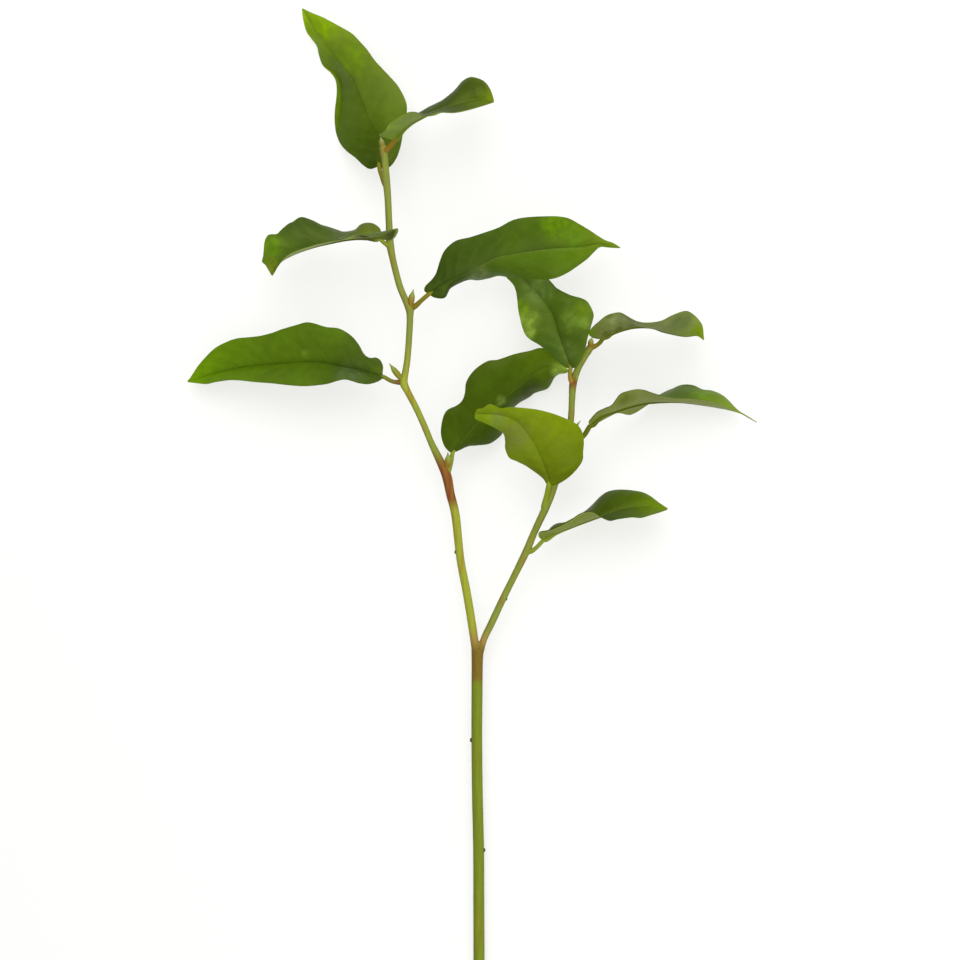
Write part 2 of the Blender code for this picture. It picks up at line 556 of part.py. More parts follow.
def build_stem(collection, material):
    """The stem with both branches, its buds and its leaf scars, in one solid."""
    stem = build_tube("stem", MAIN_STEM, STEM_SIDES, collection, material)
    pieces = []
    for name, line in (("left_branch", LEFT_BRANCH), ("right_branch", RIGHT_BRANCH)):
        pieces.append(build_tube(name, line, STEM_SIDES, collection, material))
    for number, bud in enumerate(BUDS):
        pieces.append(build_bud(f"bud_{number}", bud, collection, material))
    for number, scar in enumerate(SCARS):
        pieces.append(build_scar(f"scar_{number}", scar, collection, material))
    unite(stem, pieces)
    return stem


def main():
    """Build the whole sprig."""
    clear_scene()
    collection = new_collection(COLLECTION_NAME)
    leaf_skin = {leaf.name: new_material(leaf.name, LEAF_GREEN, 0.42) for leaf in LEAVES}
    build_stem(collection, new_material("stem", STEM_GREEN, 0.5))
    for leaf in LEAVES:
        item = build_leaf(leaf, collection, leaf_skin[leaf.name])
        item.data.shade_smooth()
        item.data.set_sharp_from_angle(angle=math.radians(40.0))


main()
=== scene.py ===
"""A cut sprig of salal, lying on a pale floor and seen from straight above.

Every leaf and the stem are remade finer than the frame's solids, in the same places: blades with
their crease, waves and veins, petioles that run into the stem, pointed buds, and bark.

Places are drawn on a sheet of half-millimetre steps, column to the right and row downwards, as the
camera sees the sprig. The third number is the true height above the floor in millimetres.
"""

import logging
import math
from dataclasses import dataclass, replace
from enum import Enum
from functools import partial
from typing import Any, Callable, Sequence

import bpy
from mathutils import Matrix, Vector


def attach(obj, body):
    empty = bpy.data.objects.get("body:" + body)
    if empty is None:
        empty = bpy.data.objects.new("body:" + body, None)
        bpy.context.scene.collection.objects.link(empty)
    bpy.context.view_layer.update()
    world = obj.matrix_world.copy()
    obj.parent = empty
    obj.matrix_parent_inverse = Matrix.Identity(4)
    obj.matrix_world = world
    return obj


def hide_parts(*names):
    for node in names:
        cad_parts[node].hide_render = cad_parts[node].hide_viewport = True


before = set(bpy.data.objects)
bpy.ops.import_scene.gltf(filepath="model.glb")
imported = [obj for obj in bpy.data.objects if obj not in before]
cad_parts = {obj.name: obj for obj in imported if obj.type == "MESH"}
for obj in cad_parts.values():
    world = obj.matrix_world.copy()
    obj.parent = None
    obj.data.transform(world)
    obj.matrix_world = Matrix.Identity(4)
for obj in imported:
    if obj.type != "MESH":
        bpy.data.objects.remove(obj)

log = logging.getLogger("salal")

MM = 0.001
SHEET_CENTRE = 480.0           # column and row straight under the camera
SHEET_STEP = 0.5               # millimetres for each column or row, at the drawn level
CAMERA_PLACE = (4.0, 19.5, 2687.0)
DRAWN_LEVEL = 20.0             # millimetres above the floor
PATCH_LEVEL = 24.0             # about the height of the leaves, to look up a patch's place
LAMP_GAIN = 1.75               # how many times its own colour a level surface returns

VEIN_SPACING = 8.0             # between side veins, in millimetres along the midrib
VEIN_SWEEP = 0.17              # how far a side vein runs forwards, as a share of the blade
VEIN_CURVE = 1.35
VEIN_STAGGER = 0.45            # the left half's veins against the right half's, in spacings
NET_SIZE = 1.9                 # meshes of the finest veins, in millimetres
GRAIN_SIZE = 4.0               # fine unevenness of the greens
CLOUD_SIZE = 22.0              # broad unevenness of the greens

Drawn = tuple[float, float, float]
Patch = tuple[float, float, float, str]
Socket = bpy.types.NodeSocket

CUT_END = (479, 1027.8, 2.6)   # the middle of the stem's cut, as drawn


def on_sheet(point: Sequence[float]) -> Vector:
    """The place in the frame, in metres, of a point drawn as the camera sees it.

    Args:
        point: column, row and height in millimetres. Further numbers are ignored.

    Returns:
        The place in metres.
    """
    column, row, height = point[:3]
    step = SHEET_STEP * (CAMERA_PLACE[2] - height) / (CAMERA_PLACE[2] - DRAWN_LEVEL)
    x = CAMERA_PLACE[0] + (column - SHEET_CENTRE) * step
    y = CAMERA_PLACE[1] - (row - SHEET_CENTRE) * step
    return Vector((x, y, height)) * MM


def linear(colour: str) -> tuple[float, ...]:
    """An sRGB hex colour, as seen on a level surface under the lamps, as the surface's own colour.

    Args:
        colour: six hex digits after a hash.

    Returns:
        Linear red, green, blue and an alpha of one.
    """
    channels = []
    for start in (1, 3, 5):
        value = int(colour[start:start + 2], 16) / 255.0
        channels.append(value / 12.92 if value <= 0.04045 else ((value + 0.055) / 1.055) ** 2.4)
    return (*(channel / LAMP_GAIN for channel in channels), 1.0)


def vein_count(length: float) -> float:
    """How many side veins each half of a blade has, by its length in metres."""
    return max(5.0, round(length / MM / VEIN_SPACING))


def smooth_step(value: float, low: float, high: float) -> float:
    """Rise from 0 at low to 1 at high, level at both ends."""
    part = min(max((value - low) / (high - low), 0.0), 1.0)
    return part * part * (3.0 - 2.0 * part)


class SmoothLine:
    """A smooth line through places, read by share of its length."""

    def __init__(self, places: Sequence[Vector], steps: int = 12) -> None:
        """Lay the line.

        Args:
            places: the places that it passes through, at least two.
            steps: pieces between each two places.
        """
        padded = [2.0 * places[0] - places[1], *places, 2.0 * places[-1] - places[-2]]
        self.line: list[Vector] = []
        for index in range(len(places) - 1):
            a, b, c, d = padded[index:index + 4]
            for step in range(steps):
                t = step / steps
                self.line.append(0.5 * (
                    2.0 * b + (c - a) * t + (2.0 * a - 5.0 * b + 4.0 * c - d) * t * t
                    + (3.0 * b - a - 3.0 * c + d) * t * t * t
                ))
        self.line.append(places[-1].copy())
        self.reach = [0.0]
        for start, end in zip(self.line, self.line[1:]):
            self.reach.append(self.reach[-1] + (end - start).length)

    @property
    def length(self) -> float:
        """The line's whole length in metres."""
        return self.reach[-1]

    def at(self, share: float) -> Vector:
        """The place at a share of the length, from 0 to 1."""
        goal = min(max(share, 0.0), 1.0) * self.length
        low, high = 0, len(self.line) - 1
        while high - low > 1:
            middle = (low + high) // 2
            if self.reach[middle] <= goal:
                low = middle
            else:
                high = middle
        span = max(self.reach[low + 1] - self.reach[low], 1e-12)
        return self.line[low].lerp(self.line[low + 1], (goal - self.reach[low]) / span)

    def heading(self, share: float, reach: float = 0.02) -> Vector:
        """The direction of the line at a share of its length, over a stretch of it either side."""
        return (self.at(share + reach) - self.at(share - reach)).normalized()


def deselect() -> None:
    """Leave object mode with nothing selected."""
    if bpy.context.object and bpy.context.object.mode != "OBJECT":
        bpy.ops.object.mode_set(mode="OBJECT")
    bpy.ops.object.select_all(action="DESELECT")


def select_only(*items: bpy.types.Object) -> None:
    """Select these objects alone, the first of them active."""
    deselect()
    for item in items:
        item.select_set(True)
    bpy.context.view_layer.objects.active = items[0]


def apply_modifier(item: bpy.types.Object, name: str, kind: str, **settings: Any) -> None:
    """Add a modifier with its settings and apply it.

    Args:
        item: the object.
        name: the modifier's name.
        kind: the modifier's type.
        settings: its properties.
    """
    select_only(item)
    modifier = item.modifiers.new(name, kind)
    for key, value in settings.items():
        setattr(modifier, key, value)
    bpy.ops.object.modifier_apply(modifier=name)


def join(name: str, *items: bpy.types.Object) -> bpy.types.Object:
    """Make several mesh objects one.

    Args:
        name: the name of the joined object.
        items: the objects. The first keeps its place.

    Returns:
        The joined object.
    """
    select_only(*items)
    bpy.ops.object.join()
    joined = bpy.context.object
    joined.name = joined.data.name = name
    return joined


def tube(name: str, line: Sequence[tuple[Vector, float]], sides: int = 4) -> bpy.types.Object:
    """A closed round tube along a line.

    Args:
        name: the object's name.
        line: places and radii in metres.
        sides: bevel resolution of the curve.

    Returns:
        A mesh object with its place in its mesh.
    """
    deselect()
    bpy.ops.curve.primitive_nurbs_path_add(location=(0.0, 0.0, 0.0))
    item = bpy.context.object
    item.name = name
    data = item.data
    data.splines.clear()
    data.dimensions = "3D"
    data.bevel_depth = 1.0
    data.bevel_resolution = sides
    data.use_fill_caps = True
    data.twist_mode = "Z_UP"
    spline = data.splines.new("POLY")
    spline.points.add(len(line) - 1)
    for point, (place, radius) in zip(spline.points, line):
        point.co = (*place, 1.0)
        point.radius = radius
    select_only(item)
    bpy.ops.object.convert(target="MESH")
    bpy.ops.object.mode_set(mode="EDIT")
    bpy.ops.mesh.select_all(action="SELECT")
    bpy.ops.mesh.remove_doubles(threshold=1e-6)
    bpy.ops.mesh.normals_make_consistent(inside=False)
    bpy.ops.object.mode_set(mode="OBJECT")
    return item


def dress_tube(item: bpy.types.Object, material: bpy.types.Material, shares: Sequence[float]) -> None:
    """Give a tube its skin, and each of its rings its share of the way along for the skin to read."""
    per_ring = len(item.data.vertices) // len(shares)
    reach = item.data.attributes.new("reach", "FLOAT", "POINT")
    for vertex in item.data.vertices:
        reach.data[vertex.index].value = shares[min(vertex.index // per_ring, len(shares) - 1)]
    item.data.materials.clear()
    item.data.materials.append(material)


def add_node(
    tree: bpy.types.NodeTree, kind: str, inputs: dict[Any, Any] | None = None, **settings: Any
) -> bpy.types.Node:
    """Add a shader node with its settings and links.

    Args:
        tree: the material's node tree.
        kind: the node's type name.
        inputs: socket names or numbers, each with a value or an output socket to link from.
        settings: the node's own properties.

    Returns:
        The new node.
    """
    node = tree.nodes.new(kind)
    for key, value in settings.items():
        setattr(node, key, value)
    for key, value in (inputs or {}).items():
        if isinstance(value, bpy.types.NodeSocket):
            tree.links.new(value, node.inputs[key])
        else:
            node.inputs[key].default_value = value
    return node


class PlantSkin:
    """A material in the making: its node tree and the few steps that plant skins are made of."""

    def __init__(self, name: str, roughness: float) -> None:
        """Start with a weak shine, which takes the green of what lies under the wax."""
        self.material = bpy.data.materials.new(name)
        self.material.use_nodes = True
        self.tree = self.material.node_tree
        self.inputs = self.tree.nodes["Principled BSDF"].inputs
        self.inputs["Roughness"].default_value = roughness
        self.inputs["Specular IOR Level"].default_value = 0.09
        self.inputs["Specular Tint"].default_value = (0.9, 1.0, 0.3, 1.0)
        self.place = add_node(self.tree, "ShaderNodeTexCoord").outputs["Object"]

    def give(self, name: str, value: Socket) -> None:
        """Link a value to one of the shader's inputs."""
        self.tree.links.new(value, self.inputs[name])

    def math(self, operation: str, *values: Any) -> Socket:
        """One arithmetic step."""
        inputs = dict(enumerate(values))
        return add_node(self.tree, "ShaderNodeMath", inputs, operation=operation).outputs[0]

    def times(self, first: Any, second: Any) -> Socket:
        """One value times another."""
        return self.math("MULTIPLY", first, second)

    def ramp(
        self, value: Any, low: float, high: float, start: float = 0.0, end: float = 1.0,
        kind: str = "SMOOTHSTEP",
    ) -> Socket:
        """A value carried from one range to another, smoothly unless told otherwise."""
        inputs = {0: value, 1: low, 2: high, 3: start, 4: end}
        return add_node(self.tree, "ShaderNodeMapRange", inputs, interpolation_type=kind).outputs[0]

    def mix(self, factor: Any, first: Socket | str, second: Socket | str) -> Socket:
        """One colour over another, each a socket or a hex colour."""
        inputs = {0: factor}
        for number, tone in ((6, first), (7, second)):
            inputs[number] = linear(tone) if isinstance(tone, str) else tone
        return add_node(self.tree, "ShaderNodeMix", inputs, data_type="RGBA").outputs[2]

    def colours(self, value: Socket, *stops: tuple[float, str]) -> Socket:
        """A value turned into colours, each at the value that it is given with."""
        node = add_node(self.tree, "ShaderNodeValToRGB", {"Fac": value})
        ends = node.color_ramp.elements
        for end, (position, colour) in zip(ends, (stops[0], stops[-1])):
            end.position, end.color = position, linear(colour)
        for position, colour in stops[1:-1]:
            ends.new(position).color = linear(colour)
        return node.outputs["Color"]

    def noise(self, size: float, detail: float, place: Socket | None = None) -> Socket:
        """Noise with features about so many millimetres wide."""
        vector = self.place if place is None else place
        inputs = {"Vector": vector, "Scale": 1.0 / (size * MM), "Detail": detail}
        return add_node(self.tree, "ShaderNodeTexNoise", inputs).outputs["Fac"]

    def away(self, centre: Vector) -> Socket:
        """The distance from a place, in metres."""
        inputs = {0: self.place, 1: centre}
        return add_node(self.tree, "ShaderNodeVectorMath", inputs, operation="DISTANCE").outputs["Value"]

    def shaded(self, colour: Socket, value: Socket) -> Socket:
        """A colour made brighter or darker by a value near one."""
        inputs = {"Color": colour, "Value": value}
        return add_node(self.tree, "ShaderNodeHueSaturation", inputs).outputs["Color"]

    def relief(self, height: Socket, depth: float, strength: float = 1.0) -> None:
        """Raise the surface by a height, one unit of which is so many millimetres."""
        inputs = {"Height": height, "Distance": depth * MM, "Strength": strength}
        self.give("Normal", add_node(self.tree, "ShaderNodeBump", inputs).outputs["Normal"])

    def colour_by_reach(self, *stops: tuple[float, str]) -> bpy.types.Material:
        """Colour a tube by the share of the way along it, and hand over the material."""
        reach = add_node(self.tree, "ShaderNodeAttribute", attribute_name="reach").outputs["Fac"]
        self.give("Base Color", self.colours(reach, *stops))
        return self.material


class Side(Enum):
    """The two halves of a blade, seen from its upper side with the tip ahead."""

    LEFT = 1
    RIGHT = -1


@dataclass(frozen=True)
class LeafSkin:
    """The skin of one face of a salal blade: leathery, waxed, with sunken or raised veins.

    A waxed leaf gives a broad soft shine over a green that is never even: it is deeper by the
    stalk, fresher towards the tip, and paler along the veins. Light and shade are painted on too: a
    paler half where the blade faces the lamps, a lighter rim along the margin as a painted highlight,
    a midrib line that is darker on some leaves as painted shade in its groove, and patches of painted
    highlight and painted shade, one on leaf_right_3 being a real brown spot. Each patch is column,
    row, radius in millimetres and colour.
    """

    base: str
    middle: str
    tip: str
    pale: str
    crease: str = "#6f8a34"
    margin: str | None = None
    painted_lit_half: Side | None = None
    roughness: float = 0.42
    sunken_veins: bool = True
    mottle: float = 0.3
    sheen_shade_and_spots: tuple[Patch, ...] = ()

    def make(self, name: str, length: float, find: Callable[[float, float], Vector]) -> bpy.types.Material:
        """Build the material.

        Args:
            name: the material's name.
            length: the blade's length in metres, for the spacing of its veins.
            find: gives the place on the blade at a column and row.

        Returns:
            The material.
        """
        skin = PlantSkin(name, self.roughness)
        math_node, times, ramp, mix = skin.math, skin.times, skin.ramp, skin.mix
        chart = add_node(skin.tree, "ShaderNodeUVMap", uv_map="blade").outputs["UV"]
        parts = add_node(skin.tree, "ShaderNodeSeparateXYZ", {0: chart})
        along, across = parts.outputs["X"], parts.outputs["Y"]
        out = times(math_node("ABSOLUTE", math_node("SUBTRACT", across, 0.5)), 2.0)
        is_left = ramp(across, 0.49, 0.51)

        # Side veins leave the midrib forwards and fade by the margin
        run = times(math_node("POWER", out, VEIN_CURVE), VEIN_SWEEP)
        wave = times(math_node("SUBTRACT", along, run), vein_count(length))
        wave = math_node("ADD", wave, times(is_left, VEIN_STAGGER))
        saw = times(math_node("ABSOLUTE", math_node("SUBTRACT", math_node("FRACT", wave), 0.5)), 2.0)
        side_vein = times(ramp(saw, 0.8, 1.0), ramp(out, 0.55, 0.96, 1.0, 0.0))
        midrib = ramp(out, 0.012, 0.045, 1.0, 0.0)
        net = add_node(
            skin.tree, "ShaderNodeTexVoronoi", {"Vector": skin.place, "Scale": 1.0 / (NET_SIZE * MM)},
            feature="DISTANCE_TO_EDGE",
        ).outputs["Distance"]

        # Greens, with painted highlights and painted shade laid over them
        fine = skin.noise(GRAIN_SIZE, 3.0)
        clouds = ramp(skin.noise(CLOUD_SIZE, 2.0), 0.42, 0.68)
        colour = mix(ramp(along, 0.0, 0.55), self.base, self.middle)
        colour = mix(ramp(along, 0.55, 1.0), colour, self.tip)
        colour = mix(times(clouds, self.mottle), colour, self.pale)
        # Painted light: one half made paler, where the blade faces the lamps
        if self.painted_lit_half:
            half = is_left if self.painted_lit_half is Side.LEFT else math_node("SUBTRACT", 1.0, is_left)
            colour = mix(times(half, ramp(along, 0.15, 0.5, 0.0, 0.5)), colour, self.pale)
        # Patches of painted highlight and painted shade, and on leaf_right_3 a real brown spot
        for column, row, radius, tone in self.sheen_shade_and_spots:
            near = ramp(skin.away(find(column, row)), 0.25 * radius * MM, radius * MM, 1.0, 0.0)
            colour = mix(times(near, ramp(fine, 0.35, 0.65, 0.5, 1.0)), colour, tone)
        colour = mix(times(side_vein, 0.12), colour, self.pale)
        # The midrib line; where it is darker than the blade, it is painted shade in the groove
        colour = mix(times(midrib, 0.45), colour, self.crease)
        # Painted highlight: a lighter rim along the margin
        if self.margin:
            colour = mix(ramp(out, 0.93, 0.98, 0.0, 0.8), colour, self.margin)
        skin.give("Base Color", skin.shaded(colour, ramp(fine, 0.3, 0.75, 0.93, 1.07)))

        # Relief in millimetres: veins sink on the upper face and stand out on the lower one
        sign = -1.0 if self.sunken_veins else 1.0
        relief = times(side_vein, 0.08 * sign)
        relief = math_node("ADD", relief, times(ramp(net, 0.0, 0.12, 1.0, 0.0), 0.02 * sign))
        relief = math_node("ADD", relief, times(fine, 0.03))
        skin.relief(relief, 1.0, strength=0.8)
        skin.give("Roughness", ramp(fine, 0.3, 0.8, self.roughness - 0.04, self.roughness + 0.07))
        return skin.material


@dataclass(frozen=True)
class StalkSkin:
    """A petiole's skin: smooth and green, tinged orange or brown where it leaves the stem."""

    green: str
    tinge: str
    far: str = "#5f6f22"
    far_at: float = 0.5

    def make(self, name: str) -> bpy.types.Material:
        """Build the material under that name."""
        skin = PlantSkin(name, 0.45)
        return skin.colour_by_reach((0.02, self.tinge), (0.12, self.green), (self.far_at, self.far))


@dataclass(frozen=True)
class BudSkin:
    """The skin of a small bud: green at the tip, rust-brown at the foot."""

    foot: str
    tip: str

    def make(self, name: str) -> bpy.types.Material:
        """Build the material under that name."""
        return PlantSkin(name, 0.5).colour_by_reach((0.45, self.foot), (0.75, self.tip))


@dataclass(frozen=True)
class DryScar:
    """The dry, dull cork over the scar that a fallen leaf left: dark grey-green."""

    colour: str = "#4a5236"

    def make(self) -> bpy.types.Material:
        """Build the material."""
        skin = PlantSkin("dry_scar", 0.8)
        skin.inputs["Base Color"].default_value = linear(self.colour)
        return skin.material


@dataclass(frozen=True)
class GreenBark:
    """The young bark of a salal stem: smooth, olive, browner at the fork and at the knots.

    The cut end shows pale wood round a darker pith.
    """

    lower: str = "#788826"
    collar: str = "#7c6628"
    fork: str = "#a48a48"
    left: str = "#9ea636"
    knot: str = "#824826"
    middle: str = "#88953c"
    upper: str = "#87913e"
    right: str = "#84903a"
    tinge: str = "#9a7432"
    wood: str = "#c9c294"
    pith: str = "#97895a"
    start: float = -260.0
    reach: float = 500.0

    def make(self) -> bpy.types.Material:
        """Build the material."""
        skin = PlantSkin("green_bark", 0.48)
        mix, times, straight = skin.mix, skin.times, partial(skin.ramp, kind="LINEAR")
        parts = add_node(skin.tree, "ShaderNodeSeparateXYZ", {0: skin.place})
        x, y = parts.outputs["X"], parts.outputs["Y"]

        def along(*stops: tuple[float, str]) -> Socket:
            """Colours by their distance along the sprig, in millimetres."""
            shares = [((distance - self.start) / self.reach, colour) for distance, colour in stops]
            return skin.colours(straight(y, self.start * MM, (self.start + self.reach) * MM), *shares)

        left = along(
            (-260, self.lower), (-83, self.lower), (-80, self.collar), (-66, self.collar),
            (-61, self.fork), (-54, self.left), (4, self.left), (10, self.knot), (26, self.knot),
            (34, self.middle), (66, self.left), (90, self.upper), (240, self.upper),
        )
        right = along(
            (-260, self.collar), (-66, self.collar), (-61, self.fork), (-56, self.upper),
            (-20, self.right), (64, self.right), (68, self.knot), (73, self.right), (84, self.right),
            (88, self.knot), (240, self.knot),
        )
        on_right = times(straight(x, 3.5 * MM, 6.0 * MM), straight(y, -66.0 * MM, -60.0 * MM))
        colour = mix(on_right, left, right)

        # Long faint streaks, about a millimetre wide and 14 mm long, and rarer brown ones
        stretch = add_node(skin.tree, "ShaderNodeMapping", {"Vector": skin.place, "Scale": (1.0, 0.07, 1.0)})
        streak = skin.noise(1.0, 3.0, stretch.outputs[0])
        sunburn = straight(skin.noise(2.6, 1.0, stretch.outputs[0]), 0.5, 0.68)
        branches = straight(y, -80.0 * MM, -60.0 * MM, 0.15, 0.5)
        colour = mix(times(sunburn, branches), colour, self.tinge)
        colour = skin.shaded(colour, straight(streak, 0.3, 0.7, 0.9, 1.12))

        # The cut end: pith, wood and a ring of bark
        out = skin.away(on_sheet(CUT_END))
        wood = mix(straight(out, 0.5 * MM, 0.8 * MM), self.pith, self.wood)
        skin.give("Base Color", mix(straight(out, 2.3 * MM, 2.5 * MM), wood, colour))
        skin.relief(streak, 0.12)
        return skin.material


PALE_UNDERSIDE = LeafSkin(
    base="#7c8a3c", middle="#7e8e40", tip="#84943a", pale="#93a052", crease="#6f7a2c",
    roughness=0.6, sunken_veins=False,
)


@dataclass(frozen=True)
class LeafDrawing:
    """One leaf as drawn: its petiole from inside the stem, its midrib and its two margins.

    Left and right are as seen from above the blade, looking from base to tip. rib runs from the
    blade's base to its tip, and the margins are the points between those two. dome is how far each
    half bulges up, as a share of its width. drip is a drawn-out end beyond the tip.
    """

    name: str
    petiole: tuple[Drawn, ...]
    rib: tuple[Drawn, ...]
    left: tuple[Drawn, ...]
    right: tuple[Drawn, ...]
    upper: LeafSkin
    stalk: StalkSkin
    under: LeafSkin = PALE_UNDERSIDE
    dome: tuple[float, float] = (0.09, 0.09)
    petiole_radius: float = 1.05
    drip: Drawn | None = None


@dataclass
class SalalLeaf:
    """A whole leaf: blade, midrib and petiole in one object."""

    drawing: LeafDrawing
    rows: int = 84
    columns: int = 36
    thickness: float = 0.5     # of the blade, in millimetres
    relief: float = 0.2        # depth of the crease and height of the swelling between side veins
    petiole_steps: int = 10
    rib_steps: int = 36
    rib_share: float = 0.9     # how far along the blade the midrib stands out
    rib_end: float = 0.2       # radius where the midrib ends

    def __post_init__(self) -> None:
        """Lay the three lines that the blade hangs on."""
        drawing = self.drawing
        base, tip = drawing.rib[0], drawing.rib[-1]
        self.rib = SmoothLine([on_sheet(point) for point in drawing.rib])
        self.left = SmoothLine([on_sheet(point) for point in (base, *drawing.left, tip)])
        self.right = SmoothLine([on_sheet(point) for point in (base, *drawing.right, tip)])

    def surface(self, along: float, across: float) -> Vector:
        """A place on the blade's middle layer.

        Args:
            along: 0 at the base and 1 at the tip.
            across: 1 at the left margin, 0 on the midrib and -1 at the right margin.

        Returns:
            The place in metres.
        """
        eased = 0.5 - 0.5 * math.cos(math.pi * along)
        share = min(max(0.6 * along + 0.4 * eased, 0.004), 0.996)
        rib = self.rib.at(share)
        margin = (self.left if across > 0.0 else self.right).at(share)
        out = margin - rib
        heading = self.rib.heading(share)
        upward = heading.cross(out) if across > 0.0 else out.cross(heading)
        upward.normalize()
        part = abs(across) ** 1.2
        dome = self.drawing.dome[0 if across > 0.0 else 1]
        rise = dome * 4.0 * part * (1.0 - part) * out.length
        crease = math.exp(-((part * out.length / (0.8 * MM)) ** 2))
        rise -= self.relief * MM * crease * smooth_step(out.length, 0.0, 4.0 * MM)
        phase = (share - VEIN_SWEEP * part ** VEIN_CURVE) * vein_count(self.rib.length)
        phase += VEIN_STAGGER if across > 0.0 else 0.0
        swell = math.sin(math.pi * phase) ** 2 * smooth_step(part, 0.05, 0.4)
        swell *= 1.0 - smooth_step(part, 0.75, 1.0)
        rise += self.relief * MM * swell * smooth_step(out.length, 3.0 * MM, 10.0 * MM)
        place = rib + out * part + upward * rise
        place.z = max(place.z, 0.5 * self.thickness * MM)
        return place

    def blade(self) -> bpy.types.Object:
        """The blade: a grid laid on the drawn surface and given its thickness."""
        deselect()
        bpy.ops.mesh.primitive_grid_add(
            x_subdivisions=self.rows, y_subdivisions=self.columns, size=2.0, calc_uvs=True
        )
        item = bpy.context.object
        item.name = self.drawing.name + "_blade"
        mesh = item.data
        mesh.uv_layers[0].name = "blade"
        for vertex in mesh.vertices:
            vertex.co = self.surface(0.5 + 0.5 * vertex.co.x, vertex.co.y)
        mesh.update()
        places = [vertex.co.copy() for vertex in mesh.vertices]

        def find(column: float, row: float) -> Vector:
            """The place of the blade that the camera sees at a column and row."""
            goal = on_sheet((column, row, PATCH_LEVEL))
            seen = [place for place in places if math.dist(place.xy, goal.xy) < 0.5 * MM]
            if seen:
                return max(seen, key=lambda place: place.z)
            return min(places, key=lambda place: math.dist(place.xy, goal.xy))

        for skin, face in ((self.drawing.upper, "_upper_face"), (self.drawing.under, "_lower_face")):
            mesh.materials.append(skin.make(self.drawing.name + face, self.rib.length, find))
        apply_modifier(
            item, "thickness", "SOLIDIFY", thickness=self.thickness * MM, offset=0.0,
            use_even_offset=False, material_offset=1, material_offset_rim=0,
        )
        return item

    def stalk(self) -> bpy.types.Object:
        """The petiole and, running on from it, the midrib that stands out under the blade."""
        drawing = self.drawing
        base = self.rib.at(0.0)
        bends = SmoothLine([*(on_sheet(point) for point in drawing.petiole), base])
        radius = drawing.petiole_radius
        line = []
        for step in range(self.petiole_steps + 1):
            share = step / self.petiole_steps
            flare = 1.0 + 0.5 * (1.0 - smooth_step(share, 0.0, 0.55))
            line.append((bends.at(share), MM * radius * flare))
        for step in range(1, self.rib_steps + 1):
            share = self.rib_share * step / self.rib_steps
            fade = 1.0 - step / self.rib_steps
            sideways = self.right.at(share) - self.left.at(share)
            down = self.rib.heading(share).cross(sideways).normalized()
            left_over = 0.6 * fade + 0.4 * smooth_step(fade, 0.88, 1.0)
            thick = MM * (self.rib_end + (radius - self.rib_end) * left_over)
            sunk = (thick + 0.05 * MM) * smooth_step(share * self.rib.length, 0.0, 2.5 * MM)
            line.append((self.rib.at(share) + down * sunk, thick))
        item = tube(drawing.name + "_stalk", line)
        whole = SmoothLine([place for place, _ in line], steps=1)
        material = drawing.stalk.make(drawing.name + "_stalk")
        dress_tube(item, material, [reach / whole.length for reach in whole.reach])
        return item

    def build(self) -> bpy.types.Object:
        """Make the leaf, dress it and let it stand for its solid.

        Returns:
            The finished leaf.
        """
        pieces = [self.blade(), self.stalk()]
        if self.drawing.drip:
            tip = self.rib.at(1.0)
            end = on_sheet(self.drawing.drip)
            places = (self.rib.at(0.97), tip, tip.lerp(end, 0.6), end)
            radii = (0.3 * MM, 0.42 * MM, 0.34 * MM, 0.2 * MM)
            thread = tube(self.drawing.name + "_drip", list(zip(places, radii)))
            thread.data.materials.append(pieces[0].data.materials[1])
            pieces.append(thread)
        item = join("waxy_" + self.drawing.name, *pieces)
        select_only(item)
        bpy.ops.object.shade_smooth_by_angle(angle=math.radians(50.0))
        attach(item, "root")
        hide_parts(self.drawing.name)
        return item


GREEN_STALK = StalkSkin(green="#8a9c2c", tinge="#8c9030")
OLIVE_STALK = StalkSkin(green="#827e1e", tinge="#7c6e20")
BROWN_STALK = StalkSkin(green="#7c8a2c", tinge="#785a30")
RUSTY_STALK = StalkSkin(green="#8e8830", tinge="#b07c30")

LEAF_LEFT_1 = LeafDrawing(
    name="leaf_left_1",
    petiole=((447.6, 472, 16.9), (451, 463, 18.2)),
    rib=(
        (452.6, 452.8, 19.5), (468.5, 433, 20), (485, 415, 19.5), (500, 402, 19), (515, 390, 18),
        (541, 369, 15.5), (556, 368.5, 14), (569, 371, 13),
    ),
    left=(
        (448.5, 451, 20.2), (444, 445, 20.5), (441, 434, 21), (442, 422, 21), (445, 413, 21), (449, 409, 21),
        (456, 406, 21), (462, 401, 21), (465, 393, 21), (466, 383, 21), (471, 374, 20.7), (478, 367, 20.3),
        (488, 361, 20), (497, 360, 19.7), (506, 357, 19.3), (515, 354, 19), (529, 351, 18), (542, 348, 17),
        (554, 354, 15.5), (562, 363, 14.2),
    ),
    right=(
        (459.5, 449.8, 17), (468, 446, 15), (478, 445, 12.5), (489, 443.5, 9), (497, 438.5, 6.5),
        (502, 433, 5), (505, 423, 4.2), (509, 412, 4), (515, 406, 4), (520, 402, 4), (529, 397, 4),
        (535, 392.5, 4.2), (546, 389, 4.5), (550, 385, 5.2), (554.5, 377, 7), (560, 373.6, 9.5),
        (565, 373, 11.5),
    ),
    upper=LeafSkin(
        base="#364705", middle="#3f5506", tip="#5d7408", pale="#4e690a", crease="#5c7428",
        # Patches of painted shade and painted highlight, the brightest lighting the tip beside leaf_right_4
        sheen_shade_and_spots=((528, 391, 11, "#33430c"), (561, 371, 7, "#a2c248"), (501, 401, 4, "#6d8434")),
    ),
    stalk=GREEN_STALK,
)

